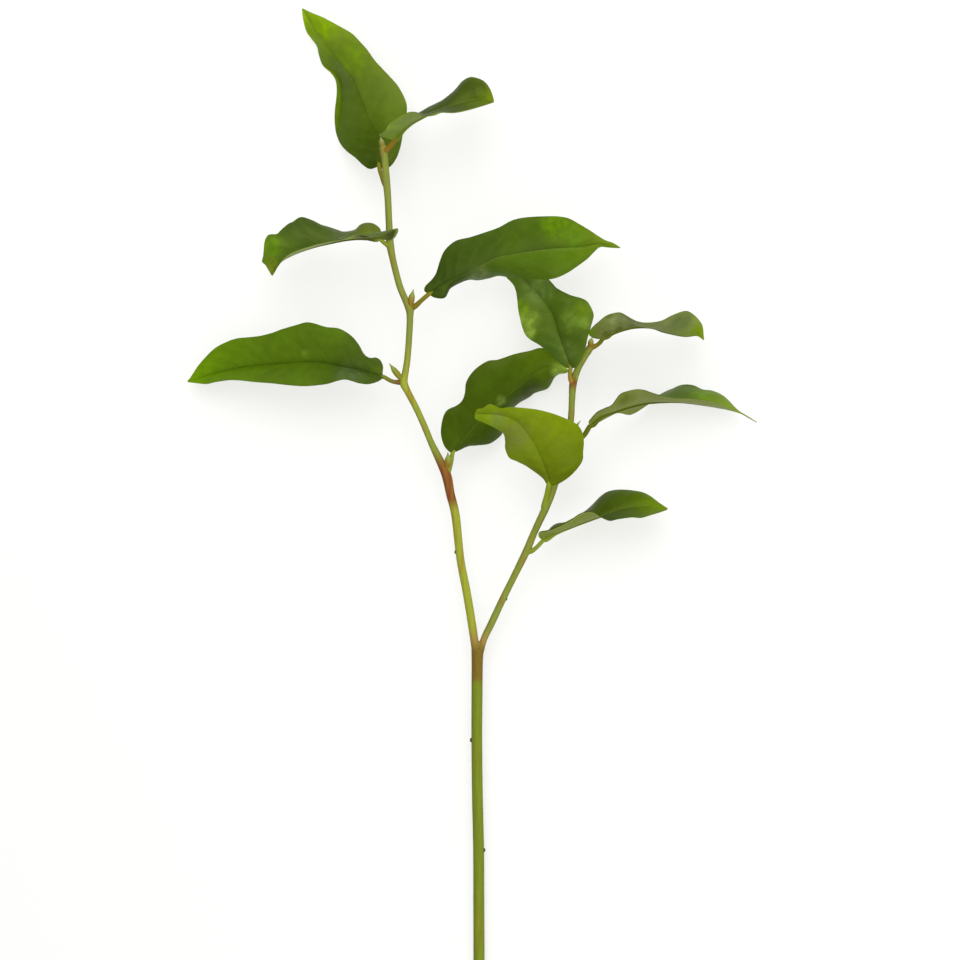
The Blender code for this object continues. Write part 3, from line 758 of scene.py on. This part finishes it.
LEAF_LEFT_2 = LeafDrawing(
    name="leaf_left_2",
    petiole=((404, 382.4, 21), (393, 381.6, 21.5)),
    rib=(
        (384, 377, 22), (360, 370, 21.5), (341, 366.5, 20.5), (319, 362.5, 19), (298, 362.5, 17.2),
        (276, 364, 15.3), (250, 366.5, 13), (226, 370.5, 10.6), (205, 376, 8.5), (187, 382, 7),
    ),
    left=(
        (379, 381, 25), (369, 384, 28.5), (359, 383, 31.5), (346, 379.3, 33.5), (336, 381, 33),
        (326, 384, 32), (306, 386, 30), (290, 385.2, 28.3), (270, 383, 25.5), (256, 382, 23.7),
        (237, 380, 21), (226, 380.3, 18.7), (214, 382.3, 15), (206, 384, 12), (195, 383, 9),
    ),
    right=(
        (382.5, 373, 22.3), (383, 366.5, 22.5), (380.5, 360.5, 22.5), (376, 357.5, 22.6), (370, 358, 22.8),
        (364, 354, 23.3), (359, 345, 23.7), (351, 335.5, 24), (339, 328.5, 24), (326, 327, 23.6),
        (314, 323.3, 22.6), (306, 322.3, 21.8), (300, 324, 21), (283, 329, 19), (272, 333, 17.6),
        (260, 336, 16.2), (249, 337.3, 15), (237, 338.5, 13.5), (226, 342.3, 12.2), (215, 348.3, 11),
        (206, 357, 9.7), (198, 366.3, 8.5), (191, 377, 7.5),
    ),
    upper=LeafSkin(
        base="#41541a", middle="#526e10", tip="#6c9404", pale="#5f8208", crease="#4c661a",
        sheen_shade_and_spots=((350, 374, 11, "#56683c"), (307, 355, 4, "#66881e"), (377, 370, 6, "#506418")),
    ),
    stalk=BROWN_STALK,
)

LEAF_LEFT_3 = LeafDrawing(
    name="leaf_left_3",
    petiole=((409.4, 309, 24), (416, 305.5, 24.8), (422, 300, 26)),
    rib=(
        (429.5, 293.5, 27), (443, 284, 29), (457, 278, 30.6), (471, 272, 32), (489, 261.5, 33.8),
        (500, 257, 34.5), (523, 253, 35), (551, 249, 34.2), (568, 248, 33), (583, 247, 31.3),
        (599, 244.5, 29.5), (621, 248, 28),
    ),
    left=(
        (424.5, 291, 27.6), (425.5, 286, 28.4), (431.5, 280, 29.5), (436.2, 273, 30.8), (440, 261, 33),
        (444, 251.5, 34), (451, 244, 34.8), (458, 240, 35.2), (470, 237.3, 35.5), (485, 232.5, 36.3),
        (499, 227.5, 37), (512, 220.5, 37.6), (525, 217.5, 38), (545, 216.3, 38.5), (559, 216.5, 38.2),
        (569, 218.5, 37.5), (580, 224.5, 36), (590, 230.5, 34.2), (604, 239.5, 31), (613, 242.8, 29.3),
    ),
    right=(
        (433, 296.8, 26.2), (440, 298.3, 26), (445, 297.3, 26), (448, 292, 25.2), (450.5, 288, 24.5),
        (461, 282, 22.8), (470, 279.3, 22), (478, 280, 21.6), (489, 278, 21.8), (499, 275.5, 22.8),
        (513, 278, 25), (520, 278.5, 26.5), (537, 279, 29), (552, 278.8, 30.7), (565, 274, 31),
        (576, 267, 30.6), (587, 258.8, 30), (594, 251.8, 29.5), (600, 246.8, 29), (610, 247.6, 28.5),
    ),
    upper=LeafSkin(
        # Painted light: the right half made paler
        base="#374a14", middle="#425a14", tip="#7c961c", pale="#5a7a10", painted_lit_half=Side.RIGHT,
        crease="#6d883e",
        sheen_shade_and_spots=(
            (557, 229, 11, "#5f8604"), (478, 275, 8, "#6a7a44"), (443, 292, 6, "#3f5414"),
            (573, 238, 9, "#5f8410"),
        ),
    ),
    stalk=OLIVE_STALK,
    petiole_radius=1.15,
)

LEAF_LEFT_4 = LeafDrawing(
    name="leaf_left_4",
    petiole=((390.8, 247.4, 26.8), (384.4, 243, 28.6)),
    rib=(
        (380, 239, 29.5), (360, 237.7, 30.5), (345, 239.2, 30.5), (330, 242.5, 30), (320, 245, 29.5),
        (310, 248, 29), (300, 251.5, 28.5), (290, 256, 28), (282, 260.8, 28), (277, 266.8, 28.3),
        (272, 276, 29),
    ),
    left=(
        (384, 238.2, 32.5), (390, 240.2, 35), (394, 238.6, 37), (397.8, 232.5, 38.7), (397.6, 228.6, 39.6),
        (391, 231, 40.4), (385.5, 234, 41.2), (380.5, 236.3, 41.8), (374, 236.3, 42.2), (366, 234.8, 42.5),
        (357, 233.4, 42.5), (350, 235.6, 42.5), (343, 238.6, 42.5), (330, 241.3, 42.5), (320, 243.3, 42.3),
        (310, 246, 42), (300, 249.2, 41.3), (290, 253.4, 40), (283, 258.7, 37.8), (278, 265.5, 34.5),
    ),
    right=(
        (381.5, 236, 27.8), (380, 229.3, 26), (376, 225.3, 25), (371, 223.3, 24.5), (365, 223.3, 24),
        (360, 225.3, 23.3), (355, 230, 22.8), (344, 232, 22), (337, 230, 22), (329, 227.3, 22),
        (321, 225, 22), (312, 220.5, 22), (301, 217.3, 23), (293, 222, 24), (288, 224.3, 24.8),
        (281, 230.3, 25.8), (277, 234.3, 26.3), (272, 234.5, 27), (268, 235.3, 27.5), (265, 240.5, 28.2),
        (264, 247, 28.8), (263.3, 255.5, 29.5), (262, 261.8, 29.8), (265.3, 264.8, 29.9),
        (268.7, 270.5, 29.6),
    ),
    upper=LeafSkin(
        base="#687428", middle="#465a1e", tip="#5c7818", pale="#567a0a", crease="#4c6426",
        sheen_shade_and_spots=((271, 246, 8, "#5e8404"), (272, 268, 7, "#6c7a1a"), (342, 235, 10, "#566338")),
    ),
    # Painted shade: a dark base and dark patches where the near half's outer face and the lobe over the stem
    # turn from the light; the margin is a painted highlight
    under=replace(
        PALE_UNDERSIDE, base="#48521c", middle="#98a84a", tip="#7f9038", pale="#98a84a", margin="#8a9a48",
        sheen_shade_and_spots=((365, 238, 8, "#2b3408"), (391, 235, 6, "#4a5228")),
    ),
    stalk=StalkSkin(green="#8a9c2c", tinge="#8c9030", far="#465010", far_at=0.19),
    dome=(0.0, 0.09),
)

LEAF_LEFT_5 = LeafDrawing(
    name="leaf_left_5",
    petiole=((384, 151.8, 30), (390.4, 145.8, 32.6)),
    rib=(
        (395, 140.5, 34.5), (402, 131, 36), (411, 123, 36.5), (422, 117, 36), (438, 109.5, 35),
        (460, 103, 33), (478, 99, 31), (494, 102, 29),
    ),
    left=(
        (398.4, 135, 31), (406, 126, 28), (417, 115.5, 25.5), (427, 109, 24.2), (435, 105.3, 23.3),
        (445, 99.3, 23), (453, 92.3, 23.2), (457.5, 87.3, 23.5), (462.5, 81.5, 23.7), (469.5, 77.5, 24),
        (476, 78, 24.6), (484, 81.5, 25.7), (489.5, 88.5, 27.2), (492.5, 96, 28.3),
    ),
    right=(
        (386, 137.6, 40), (379, 135, 44), (385, 130.8, 47), (388.5, 124.5, 48), (395, 119.5, 48.7),
        (402, 115.3, 49), (410, 112.3, 48.7), (417, 112.8, 48.3), (423, 116, 48), (430, 115.5, 48),
        (439, 112.3, 48), (453, 112.7, 46.8), (465, 110.7, 44.8), (480, 106.5, 39.5), (489, 103.6, 34),
    ),
    upper=LeafSkin(
        base="#39461a", middle="#3d4b14", tip="#6f8610", pale="#4c5e16", margin="#6a7c28",
        sheen_shade_and_spots=((474, 88, 10, "#394b0a"),),
    ),
    under=replace(
        PALE_UNDERSIDE, base="#6f8c1c", middle="#86964a", tip="#7f9038", pale="#93a24e", margin="#7c9824",
        roughness=0.5,
    ),
    stalk=StalkSkin(green="#98701a", tinge="#8c7424", far="#667c24", far_at=0.2),
    dome=(0.09, -0.08),
    petiole_radius=1.15,
)

LEAF_LEFT_6 = LeafDrawing(
    name="leaf_left_6",
    petiole=((385.8, 185, 28.8), (382.6, 178.5, 27.8), (380.2, 172, 26.2)),
    rib=(
        (379, 166, 24.5), (378, 150, 22.2), (376, 134, 19.5), (370.5, 122, 17.3), (366, 111, 15.5),
        (361, 97, 13.8), (354, 80, 12.5), (344, 67.5, 11.3), (330, 50, 10.5), (314, 29, 11.3), (302, 8, 13),
    ),
    left=(
        (370, 169, 22), (363, 165, 19), (356, 158.3, 15), (347, 151.3, 10), (341, 144.3, 5), (337, 135, 1),
        (335, 125, -2), (335, 112, -3.8), (337, 94, -5), (336, 81.5, -4), (331, 73.3, -2.3),
        (323.3, 66, -0.3), (319.3, 55, 2), (317.3, 46.3, 3.7), (311.5, 38.3, 5.6), (306.5, 31, 7.7),
        (303.3, 19, 10.5),
    ),
    right=(
        (383, 169, 24.2), (390, 166.8, 24), (396.5, 158, 23), (400.7, 146, 22.3), (402.7, 135, 21.8),
        (405.5, 122, 21.2), (407, 109, 20.5), (405.7, 101, 19.8), (401.5, 92, 18.8), (396.7, 84.3, 18),
        (386.7, 73.3, 17.2), (374.7, 60.3, 16.5), (367.7, 50.3, 16.2), (359.7, 41.3, 16), (351.7, 33.3, 16),
        (336, 24.3, 15.8), (323, 17.3, 15.5), (313, 13.3, 14.5),
    ),
    upper=LeafSkin(
        # Painted light: the right half made paler
        base="#324506", middle="#5a750c", tip="#a2cc04", pale="#6a7e2a", painted_lit_half=Side.RIGHT,
        crease="#3c4c0a",
        sheen_shade_and_spots=((350, 60, 12, "#6e8e12"), (378, 90, 11, "#5c7222"), (316, 26, 12, "#86aa00")),
    ),
    stalk=OLIVE_STALK,
    dome=(0.0, 0.09),
)

LEAF_RIGHT_1 = LeafDrawing(
    name="leaf_right_1",
    petiole=((526, 551.5, 15), (531.5, 551, 15.8), (537, 547, 17)),
    rib=(
        (543, 540.5, 18), (556, 532.5, 19), (572, 526, 20), (590, 519.5, 20.2), (602, 515.5, 20),
        (625, 508, 19), (648, 506, 17), (668, 509, 15),
    ),
    left=(
        (545, 535.5, 14), (549, 530, 12), (553.5, 525.5, 11), (559, 523.3, 9.8), (565, 523.3, 8.8),
        (572, 519.5, 7.6), (579, 515.5, 6.9), (587, 510, 6.5), (593, 504.5, 6.6), (600, 497.3, 7),
        (607, 492.3, 7.4), (616, 490.2, 8.1), (627, 490.2, 9.2), (641, 492.2, 10.6), (650, 496.2, 11.7),
        (659, 503, 13.2),
    ),
    right=(
        (538.5, 536, 22), (540, 532, 25.5), (548, 530.5, 28.5), (555, 528, 30.3), (563, 524.3, 31.3),
        (572, 519.3, 32), (579, 514.5, 32.5), (586, 512, 33), (594, 512.5, 33.5), (602, 517.5, 33.5),
        (610, 520.5, 33), (618, 518.8, 32), (632, 517, 30), (641, 517.5, 27.5), (651, 514.7, 24),
        (661, 511.7, 18.5),
    ),
    upper=LeafSkin(base="#43520e", middle="#3e5006", tip="#739004", pale="#4b6206"),
    under=replace(
        PALE_UNDERSIDE, base="#7c8a2c", middle="#818e3a", tip="#7f9038", pale="#8d9a48", margin="#93a446",
        roughness=0.55,
    ),
    stalk=GREEN_STALK,
    dome=(0.09, -0.08),
)

LEAF_RIGHT_2 = LeafDrawing(
    name="leaf_right_2",
    petiole=((544.6, 508, 17.8), (546, 499, 20.2), (547.6, 491, 23.2)),
    rib=(
        (549, 484.6, 25.5), (546, 470, 30), (540, 455, 34.5), (535, 444.5, 37), (528, 434, 39),
        (518, 422.5, 41), (506, 416.5, 41.5), (490, 414, 40.3), (475, 414, 38),
    ),
    left=(
        (547, 484, 25.5), (543.5, 478.7, 26.5), (538, 474, 28), (531, 469, 29), (525, 465, 30),
        (516, 460.7, 31.2), (509.3, 457.5, 32.3), (505.5, 449, 34.2), (505.3, 441, 36), (504, 434.3, 37.7),
        (500, 430.8, 38.5), (491, 425.7, 39.5), (482, 421.7, 39.5), (475.5, 418.8, 38.7),
    ),
    right=(
        (554, 485, 26.2), (560, 482.7, 27), (569, 476.7, 29), (577, 468.7, 31), (582.5, 460, 32.7),
        (583, 452, 33.8), (583.7, 443, 35), (582.7, 434, 36.5), (579, 426.5, 37.8), (573, 422, 38.5),
        (560, 416.2, 40), (548, 412.2, 41.5), (535, 409.2, 43), (516, 407.3, 44), (508, 407.3, 43.8),
        (501, 408.2, 43.5), (494, 405.2, 43.1), (489, 404.2, 42.7), (483, 408, 41.2), (477.5, 409.3, 39.5),
    ),
    upper=LeafSkin(
        base="#627306", middle="#73870c", tip="#768c18", pale="#80980c", crease="#4e5f10",
        sheen_shade_and_spots=((572, 457, 12, "#647806"), (514, 437, 12, "#707c30"), (499, 421, 6, "#74883a")),
    ),
    stalk=StalkSkin(green="#92a424", tinge="#8c9a38", far="#7a8a20"),
    petiole_radius=1.3,
)

LEAF_RIGHT_3 = LeafDrawing(
    name="leaf_right_3",
    petiole=((566.4, 443, 21.4), (575, 441.4, 22), (583.5, 436, 22.6)),
    rib=(
        (589.6, 426.5, 23), (600, 416.5, 22), (612, 411.5, 20.5), (630, 406, 18.8), (650, 402, 17),
        (676, 401.3, 14), (700, 404, 12), (728, 409.3, 10), (742, 413.5, 9),
    ),
    left=(
        (598, 422.5, 18), (609, 416.5, 14), (618, 412.7, 10), (628.5, 414.7, 7), (635, 412.7, 5),
        (643, 407.7, 3), (654, 400, 0.5), (663, 393.5, -1.3), (671, 389.3, -2.4), (679, 385.6, -3.1),
        (686, 384.5, -3.4), (694, 385.6, -2.8), (702, 389.3, -1.6), (713, 391.3, 0.5), (722, 395.3, 2.3),
        (729, 401.3, 4.2), (735.5, 408.3, 6.2),
    ),
    right=(
        (588.7, 422, 25.5), (591.3, 418.5, 27), (597, 412.3, 29.3), (605, 408.3, 31.4), (612, 405, 32.3),
        (620, 394.5, 33), (628, 391.3, 32.9), (637, 389.5, 32.5), (645, 390.5, 31.9), (653, 393.3, 31),
        (661, 395.5, 30), (676, 398, 27.5), (698, 399, 24), (718, 403, 19), (733, 409.7, 13),
    ),
    upper=LeafSkin(
        base="#4a5e1a", middle="#4f6622", tip="#86a02c", pale="#6a8620",
        # A painted highlight near the tip; the small brown patch is a real spot
        sheen_shade_and_spots=((706, 396, 9, "#6a8c18"), (676, 401, 2.2, "#7a4a28")),
    ),
    under=replace(
        PALE_UNDERSIDE, base="#849236", middle="#808b42", tip="#8f9e50", pale="#939e58", crease="#5f6a14",
        roughness=0.55,
        # Painted shade near the base; the small brown patch is the same real spot
        sheen_shade_and_spots=((624, 400, 8, "#66741a"), (676, 401.6, 3, "#7a4426")),
    ),
    stalk=StalkSkin(green="#626c14", tinge="#7a6a3a", far="#4c5608"),
    dome=(0.09, -0.08),
    petiole_radius=1.25,
    drip=(757, 422.4, 8),
)

LEAF_RIGHT_4 = LeafDrawing(
    name="leaf_right_4",
    petiole=((573, 383.8, 24), (570, 377, 26.2)),
    rib=(
        (570.6, 367.5, 28), (566, 354, 27.6), (562, 344, 27), (559, 335, 25.8), (552, 313, 23),
        (542, 299, 20.8), (536, 291, 19), (520, 276, 15.5), (503, 263, 13),
    ),
    left=(
        (566, 367.5, 27.7), (556, 360, 26.5), (549, 353, 25.6), (542.5, 347.3, 25), (537.5, 343.7, 24.3),
        (531, 340, 23.4), (525.7, 335, 22.7), (522.3, 327, 22), (520.3, 319, 21.2), (518.3, 309, 20.1),
        (517.3, 299, 19), (516, 291, 17.7), (513, 284.3, 16.3), (507, 278, 14.8), (500, 270, 13.5),
    ),
    right=(
        (576.5, 367, 30), (581.7, 358, 31.3), (585.7, 347, 32), (587.8, 337, 32), (590.8, 327, 31),
        (592.8, 320, 29.8), (593.7, 314.5, 28.7), (590.8, 307, 27.5), (586.8, 301.3, 26),
        (580.8, 298.3, 24.9), (570, 295.2, 23.3), (558, 289.2, 20.8), (553, 284.3, 19.4), (545, 276, 17.2),
        (528, 266, 15),
    ),
    upper=LeafSkin(
        base="#465c1a", middle="#445c10", tip="#587028", pale="#5c7824", crease="#3a4c18",
        # Painted highlights and painted shade: the blotchy sheen over the quilted blade
        sheen_shade_and_spots=(
            (527, 320, 9, "#86a038"), (522, 308, 7, "#6c8c14"), (529, 332, 5, "#86a038"),
            (571, 321, 9, "#627c26"), (585, 310, 8, "#5b7800"), (585, 323, 5, "#6a8828"),
            (553, 347, 10, "#46601c"), (568, 352, 7, "#5e722e"), (536, 290, 12, "#5c7630"),
        ),
    ),
    stalk=RUSTY_STALK,
)

LEAF_RIGHT_5 = LeafDrawing(
    name="leaf_right_5",
    petiole=((589.6, 347.5, 26), (594.5, 346.4, 26.8), (599.4, 343.2, 27.8)),
    rib=(
        (603.2, 338.4, 28.6), (613, 332.4, 29.4), (632, 327, 29), (651, 327, 28), (664, 331.4, 27),
        (684, 335.9, 25), (697, 335.4, 23.5), (704, 340, 22.5),
    ),
    left=(
        (604, 333, 24), (610, 324.5, 20), (620, 319, 17.5), (632, 322, 16.5), (644, 325, 15.5),
        (660, 323, 14.5), (676, 318.5, 14), (690, 317, 15), (699, 325.5, 18.5),
    ),
    right=(
        (598.6, 338.6, 31), (592.5, 337.4, 34), (588.6, 333.6, 36.6), (592, 327.9, 38.8), (599, 321.6, 40.7),
        (606, 316, 41.5), (613, 313.5, 42.1), (620, 312.7, 42.4), (626, 315.7, 42.5), (632, 319.3, 42.4),
        (640, 322.5, 42), (651, 322.8, 41.4), (662, 320.8, 40.3), (670, 316.6, 39.4), (679, 312.8, 38),
        (687, 311, 36.3), (694, 314.8, 33.3), (699.5, 320.5, 31), (702.7, 327, 27.5),
    ),
    upper=LeafSkin(base="#566620", middle="#5c7022", tip="#748a18", pale="#71872c"),
    under=replace(
        PALE_UNDERSIDE, base="#6a7626", middle="#7e8950", tip="#84a010", pale="#8d9958", crease="#5f6a14",
        roughness=0.55,
        # Patches of painted shade along the lower edge, below the midrib, and painted highlight in a strip
        # above it
        sheen_shade_and_spots=(
            (591, 334, 4.5, "#5f8006"), (606, 334, 4, "#56640e"), (618, 330.5, 3.5, "#525c0e"),
            (630, 326, 3, "#5a6616"), (614, 321.5, 4, "#8e9a60"), (622, 318.5, 4, "#8e9a60"),
            (608, 316.5, 3, "#66761c"), (681, 321, 9, "#64753c"), (698, 330, 5, "#7a9a00"),
        ),
    ),
    stalk=StalkSkin(green="#66701a", tinge="#8e7820", far="#4f5a0c"),
    dome=(0.09, -0.08),
)

LEAVES = (
    LEAF_LEFT_1, LEAF_LEFT_2, LEAF_LEFT_3, LEAF_LEFT_4,
    LEAF_LEFT_5, LEAF_LEFT_6, LEAF_RIGHT_1, LEAF_RIGHT_2,
    LEAF_RIGHT_3, LEAF_RIGHT_4, LEAF_RIGHT_5,
)


@dataclass
class Stem:
    """The stem with both branches and its leaf scars, grown together."""

    bark: GreenBark = GreenBark()
    scar: DryScar = DryScar()
    grain: float = 0.4         # of the mesh that the limbs grow together in, in millimetres
    bark_depth: float = 0.16   # added round each limb, because growing together thins it

    # column, row, height and radius in millimetres
    lower = (
        (*CUT_END, 2.7), (479, 989, 2.6, 2.7), (479, 949, 2.6, 2.7), (478.8, 899, 2.8, 2.68),
        (478.6, 850, 3.3, 2.65), (477.4, 795, 4, 2.62), (476.8, 740, 5, 2.62), (477, 695, 6.5, 2.68),
        (477.2, 665, 7.9, 2.72), (477.4, 653, 8.5, 2.9), (477.5, 649.5, 8.7, 2.9), (477.6, 648, 8.8, 2),
    )
    left = (
        (476.6, 659, 8.1, 1.8), (474.2, 639, 9, 1.95), (467.2, 595, 10.5, 1.95), (460.4, 559, 12, 1.9),
        (455.6, 516, 14, 2.05), (450.4, 494, 15.5, 2.1), (447, 477, 16.5, 2.35), (442.4, 465.8, 17.1, 2.1),
        (431.8, 444, 18.5, 1.55), (425.2, 428, 19, 1.5), (416.2, 408, 19.8, 1.5), (407.8, 392, 20.5, 1.6),
        (403.6, 382.4, 21, 2), (405.2, 373, 21.3, 1.6), (407.4, 359, 21.8, 1.5), (409.2, 336, 22.8, 1.5),
        (410, 317, 23.6, 1.6), (409.4, 308, 24, 2.05), (405, 299, 24.4, 1.6), (399.4, 285, 25.1, 1.55),
        (393, 260, 26.3, 1.55), (390, 243, 26.9, 1.85), (389.2, 227, 27.5, 1.6), (388, 200, 28.5, 1.6),
        (386.4, 181, 29, 1.75), (385, 161, 29.7, 1.55), (383.2, 148.6, 30, 1.7), (382.4, 143.8, 30.1, 0.9),
    )
    right = (
        (478.8, 659, 8.1, 1.6), (483.6, 640, 9.1, 1.6), (491.6, 623, 10, 1.7), (502.8, 599, 12, 1.65),
        (514.2, 576, 13.5, 1.6), (526, 552, 15, 1.8), (534.8, 531, 16.2, 1.65), (545.6, 508, 17.8, 1.8),
        (553.2, 489, 19, 1.7), (561.4, 462, 20.5, 1.6), (567, 442, 21.5, 1.8), (570.8, 420, 22.3, 1.5),
        (572, 399, 23.4, 1.5), (573.2, 383, 24, 1.8), (577.4, 370, 24.8, 1.55), (584, 358, 25.5, 1.5),
        (589.6, 348.4, 26, 1.75), (591.6, 345, 26.2, 0.9),
    )
    scars = (
        (472.4, 740, 5.1, 1.35), (482.8, 850, 3.5, 1.35), (456.6, 552, 12.2, 1.15),
        (505.2, 598.6, 12.2, 1.15),
    )

    def limb(self, name: str, points: Sequence[Sequence[float]]) -> bpy.types.Object:
        """One branch as a round tube through drawn points, lifted as far as its bark is deep."""
        line = SmoothLine([on_sheet(point) for point in points], steps=6)
        radii = SmoothLine([Vector((point[3] * MM, 0.0, 0.0)) for point in points], steps=6)
        bark = self.bark_depth * MM
        lift = Vector((0.0, 0.0, bark))
        rings = [(place + lift, radius.x + bark) for place, radius in zip(line.line, radii.line)]
        return tube(name, rings, sides=6)

    def build(self) -> bpy.types.Object:
        """Grow the three limbs and the scars together, dress them and replace the solid."""
        limbs = [
            self.limb("lower", self.lower), self.limb("left", self.left), self.limb("right", self.right)
        ]
        item = join("bark_stem", *limbs)
        apply_modifier(item, "grown together", "REMESH", mode="VOXEL", voxel_size=self.grain * MM)
        apply_modifier(item, "skin", "SMOOTH", factor=0.5, iterations=2)
        item.data.materials.clear()
        item.data.materials.append(self.bark.make())
        scab = self.scar.make()
        marks = []
        for column, row, height, radius in self.scars:
            deselect()
            bpy.ops.mesh.primitive_ico_sphere_add(
                subdivisions=3, radius=radius * MM, location=on_sheet((column, row, height))
            )
            bpy.ops.object.transform_apply(location=True, rotation=True, scale=True)
            bpy.context.object.data.materials.append(scab)
            marks.append(bpy.context.object)
        item = join("bark_stem", item, *marks)
        select_only(item)
        bpy.ops.object.shade_smooth()
        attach(item, "root")
        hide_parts("stem")
        return item


@dataclass(frozen=True)
class Bud:
    """One pointed bud: root, belly and tip as drawn, with the belly's radius in millimetres."""

    name: str
    root: Drawn
    belly: Drawn
    tip: Drawn
    radius: float
    skin: BudSkin
    steps: int = 12
    ridges: tuple[int, int] = (5, 8)   # the steps where a faint ridge runs round the bud

    def build(self) -> bpy.types.Object:
        """Make the bud and dress it."""
        spine = SmoothLine([on_sheet(point) for point in (self.root, self.belly, self.tip)])
        shares = [step / self.steps for step in range(self.steps + 1)]
        line = []
        for step, share in enumerate(shares):
            swell = 0.75 + 0.25 * smooth_step(share, 0.0, 0.4) - 0.85 * smooth_step(share, 0.5, 1.0) ** 1.4
            ridge = 0.05 if step in self.ridges else 0.0
            line.append((spine.at(share), MM * self.radius * (swell + ridge)))
        item = tube(self.name, line)
        dress_tube(item, self.skin.make(self.name + "_scales"), shares)
        select_only(item)
        bpy.ops.object.shade_smooth_by_angle(angle=math.radians(60.0))
        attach(item, "root")
        return item


GREEN_BUD = BudSkin(foot="#8f8a2c", tip="#8a9c40")
RUSTY_BUD = BudSkin(foot="#9a7c2c", tip="#92a04c")
OLIVE_BUD = BudSkin(foot="#8c8436", tip="#98985a")

BUDS = (
    Bud("bud_left_2", (403, 380.6, 21.5), (397.4, 374.2, 23.2), (389.4, 363.6, 24.3), 1.5, GREEN_BUD),
    Bud("bud_left_3", (410.2, 308, 24.5), (411.4, 299, 26.4), (413.4, 289.4, 27.4), 1.6, RUSTY_BUD),
    Bud("bud_left_1", (446.8, 468, 17.8), (448.2, 459.4, 20.6), (447.8, 452.6, 21.8), 1.7, RUSTY_BUD),
    Bud("bud_left_end", (383.2, 149, 30.2), (381.8, 142.6, 31), (380.6, 137, 31.8), 1.4, OLIVE_BUD),
    Bud("bud_right_3", (568, 437, 21.9), (574.4, 428.6, 23.2), (580.6, 420.6, 24), 1, OLIVE_BUD),
    Bud("bud_right_end", (590, 347, 26.4), (590.8, 342.4, 27.8), (592, 337.6, 29), 1.4, RUSTY_BUD),
    Bud("bud_right_4", (573.2, 382, 24.2), (576.4, 378.6, 26.4), (577.2, 373.8, 27.8), 0.95, GREEN_BUD),
)


@dataclass
class Studio:
    """A pale floor, soft white light from the picture's top and foot, and the camera above."""

    floor_colour: str = "#fefefc"
    floor_size: float = 6.0            # metres
    floor_drop: float = 0.2            # millimetres below the frame's floor
    aim: Drawn = (0.0, 0.08, 0.0)      # what the lamps face, in metres
    sky: float = 0.6
    lens: float = 200.05
    sensor: float = 36.0

    def floor(self) -> None:
        """Lay the floor just under the sprig."""
        deselect()
        bpy.ops.mesh.primitive_plane_add(
            size=self.floor_size, location=(0.0, 0.0, -self.floor_drop * MM)
        )
        item = bpy.context.object
        item.name = "floor"
        material = bpy.data.materials.new("pale_floor")
        material.use_nodes = True
        shader = material.node_tree.nodes["Principled BSDF"]
        shader.inputs["Base Color"].default_value = linear(self.floor_colour)
        shader.inputs["Roughness"].default_value = 0.9
        shader.inputs["Specular IOR Level"].default_value = 0.1
        item.data.materials.append(material)

    def lamp(self, name: str, place: Drawn, power: float, size: float, shadow: bool = False) -> None:
        """Hang one square soft lamp that faces the leaves.

        Args:
            name: the lamp's name.
            place: where it hangs, in metres.
            power: its power in watts.
            size: the side of its square in metres.
            shadow: whether it casts a shadow, as only the key lamp does.
        """
        deselect()
        bpy.ops.object.light_add(type="AREA", location=place)
        lamp = bpy.context.object
        lamp.name = name
        lamp.data.energy = power
        lamp.data.size = size
        lamp.data.use_shadow = shadow
        aim = Vector(self.aim) - Vector(place)
        lamp.rotation_euler = aim.to_track_quat("-Z", "Y").to_euler()

    def build(self) -> None:
        """Set the floor, the lamps, the sky and the camera."""
        self.floor()
        self.lamp("key", (-0.3, 1.2, 1.8), 12.0, 1.6, shadow=True)
        self.lamp("back", (0.3, 1.5, 1.5), 43.0, 1.2)
        self.lamp("front", (0.6, -1.4, 1.5), 36.0, 1.4)
        world = bpy.data.worlds.new("sky")
        world.use_nodes = True
        sky = world.node_tree.nodes["Background"]
        sky.inputs["Color"].default_value = (1.0, 1.0, 1.0, 1.0)
        sky.inputs["Strength"].default_value = self.sky
        scene = bpy.context.scene
        scene.world = world
        scene.view_settings.view_transform = "Standard"
        deselect()
        bpy.ops.object.camera_add(location=Vector(CAMERA_PLACE) * MM, rotation=(0.0, 0.0, 0.0))
        camera = bpy.context.object
        camera.name = "camera_above"
        camera.data.sensor_width = self.sensor
        camera.data.lens = self.lens
        scene.camera = camera


def main() -> None:
    """Build the studio, the stem, the buds and the leaves."""
    logging.basicConfig(level=logging.INFO, format="%(message)s")
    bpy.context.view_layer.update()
    Studio().build()
    pieces = [Stem().build()]
    pieces.extend(bud.build() for bud in BUDS)
    pieces.extend(SalalLeaf(drawing).build() for drawing in LEAVES)
    for piece in pieces:
        log.info("%s: %d faces", piece.name, len(piece.data.polygons))


if __name__ == "__main__":
    main()
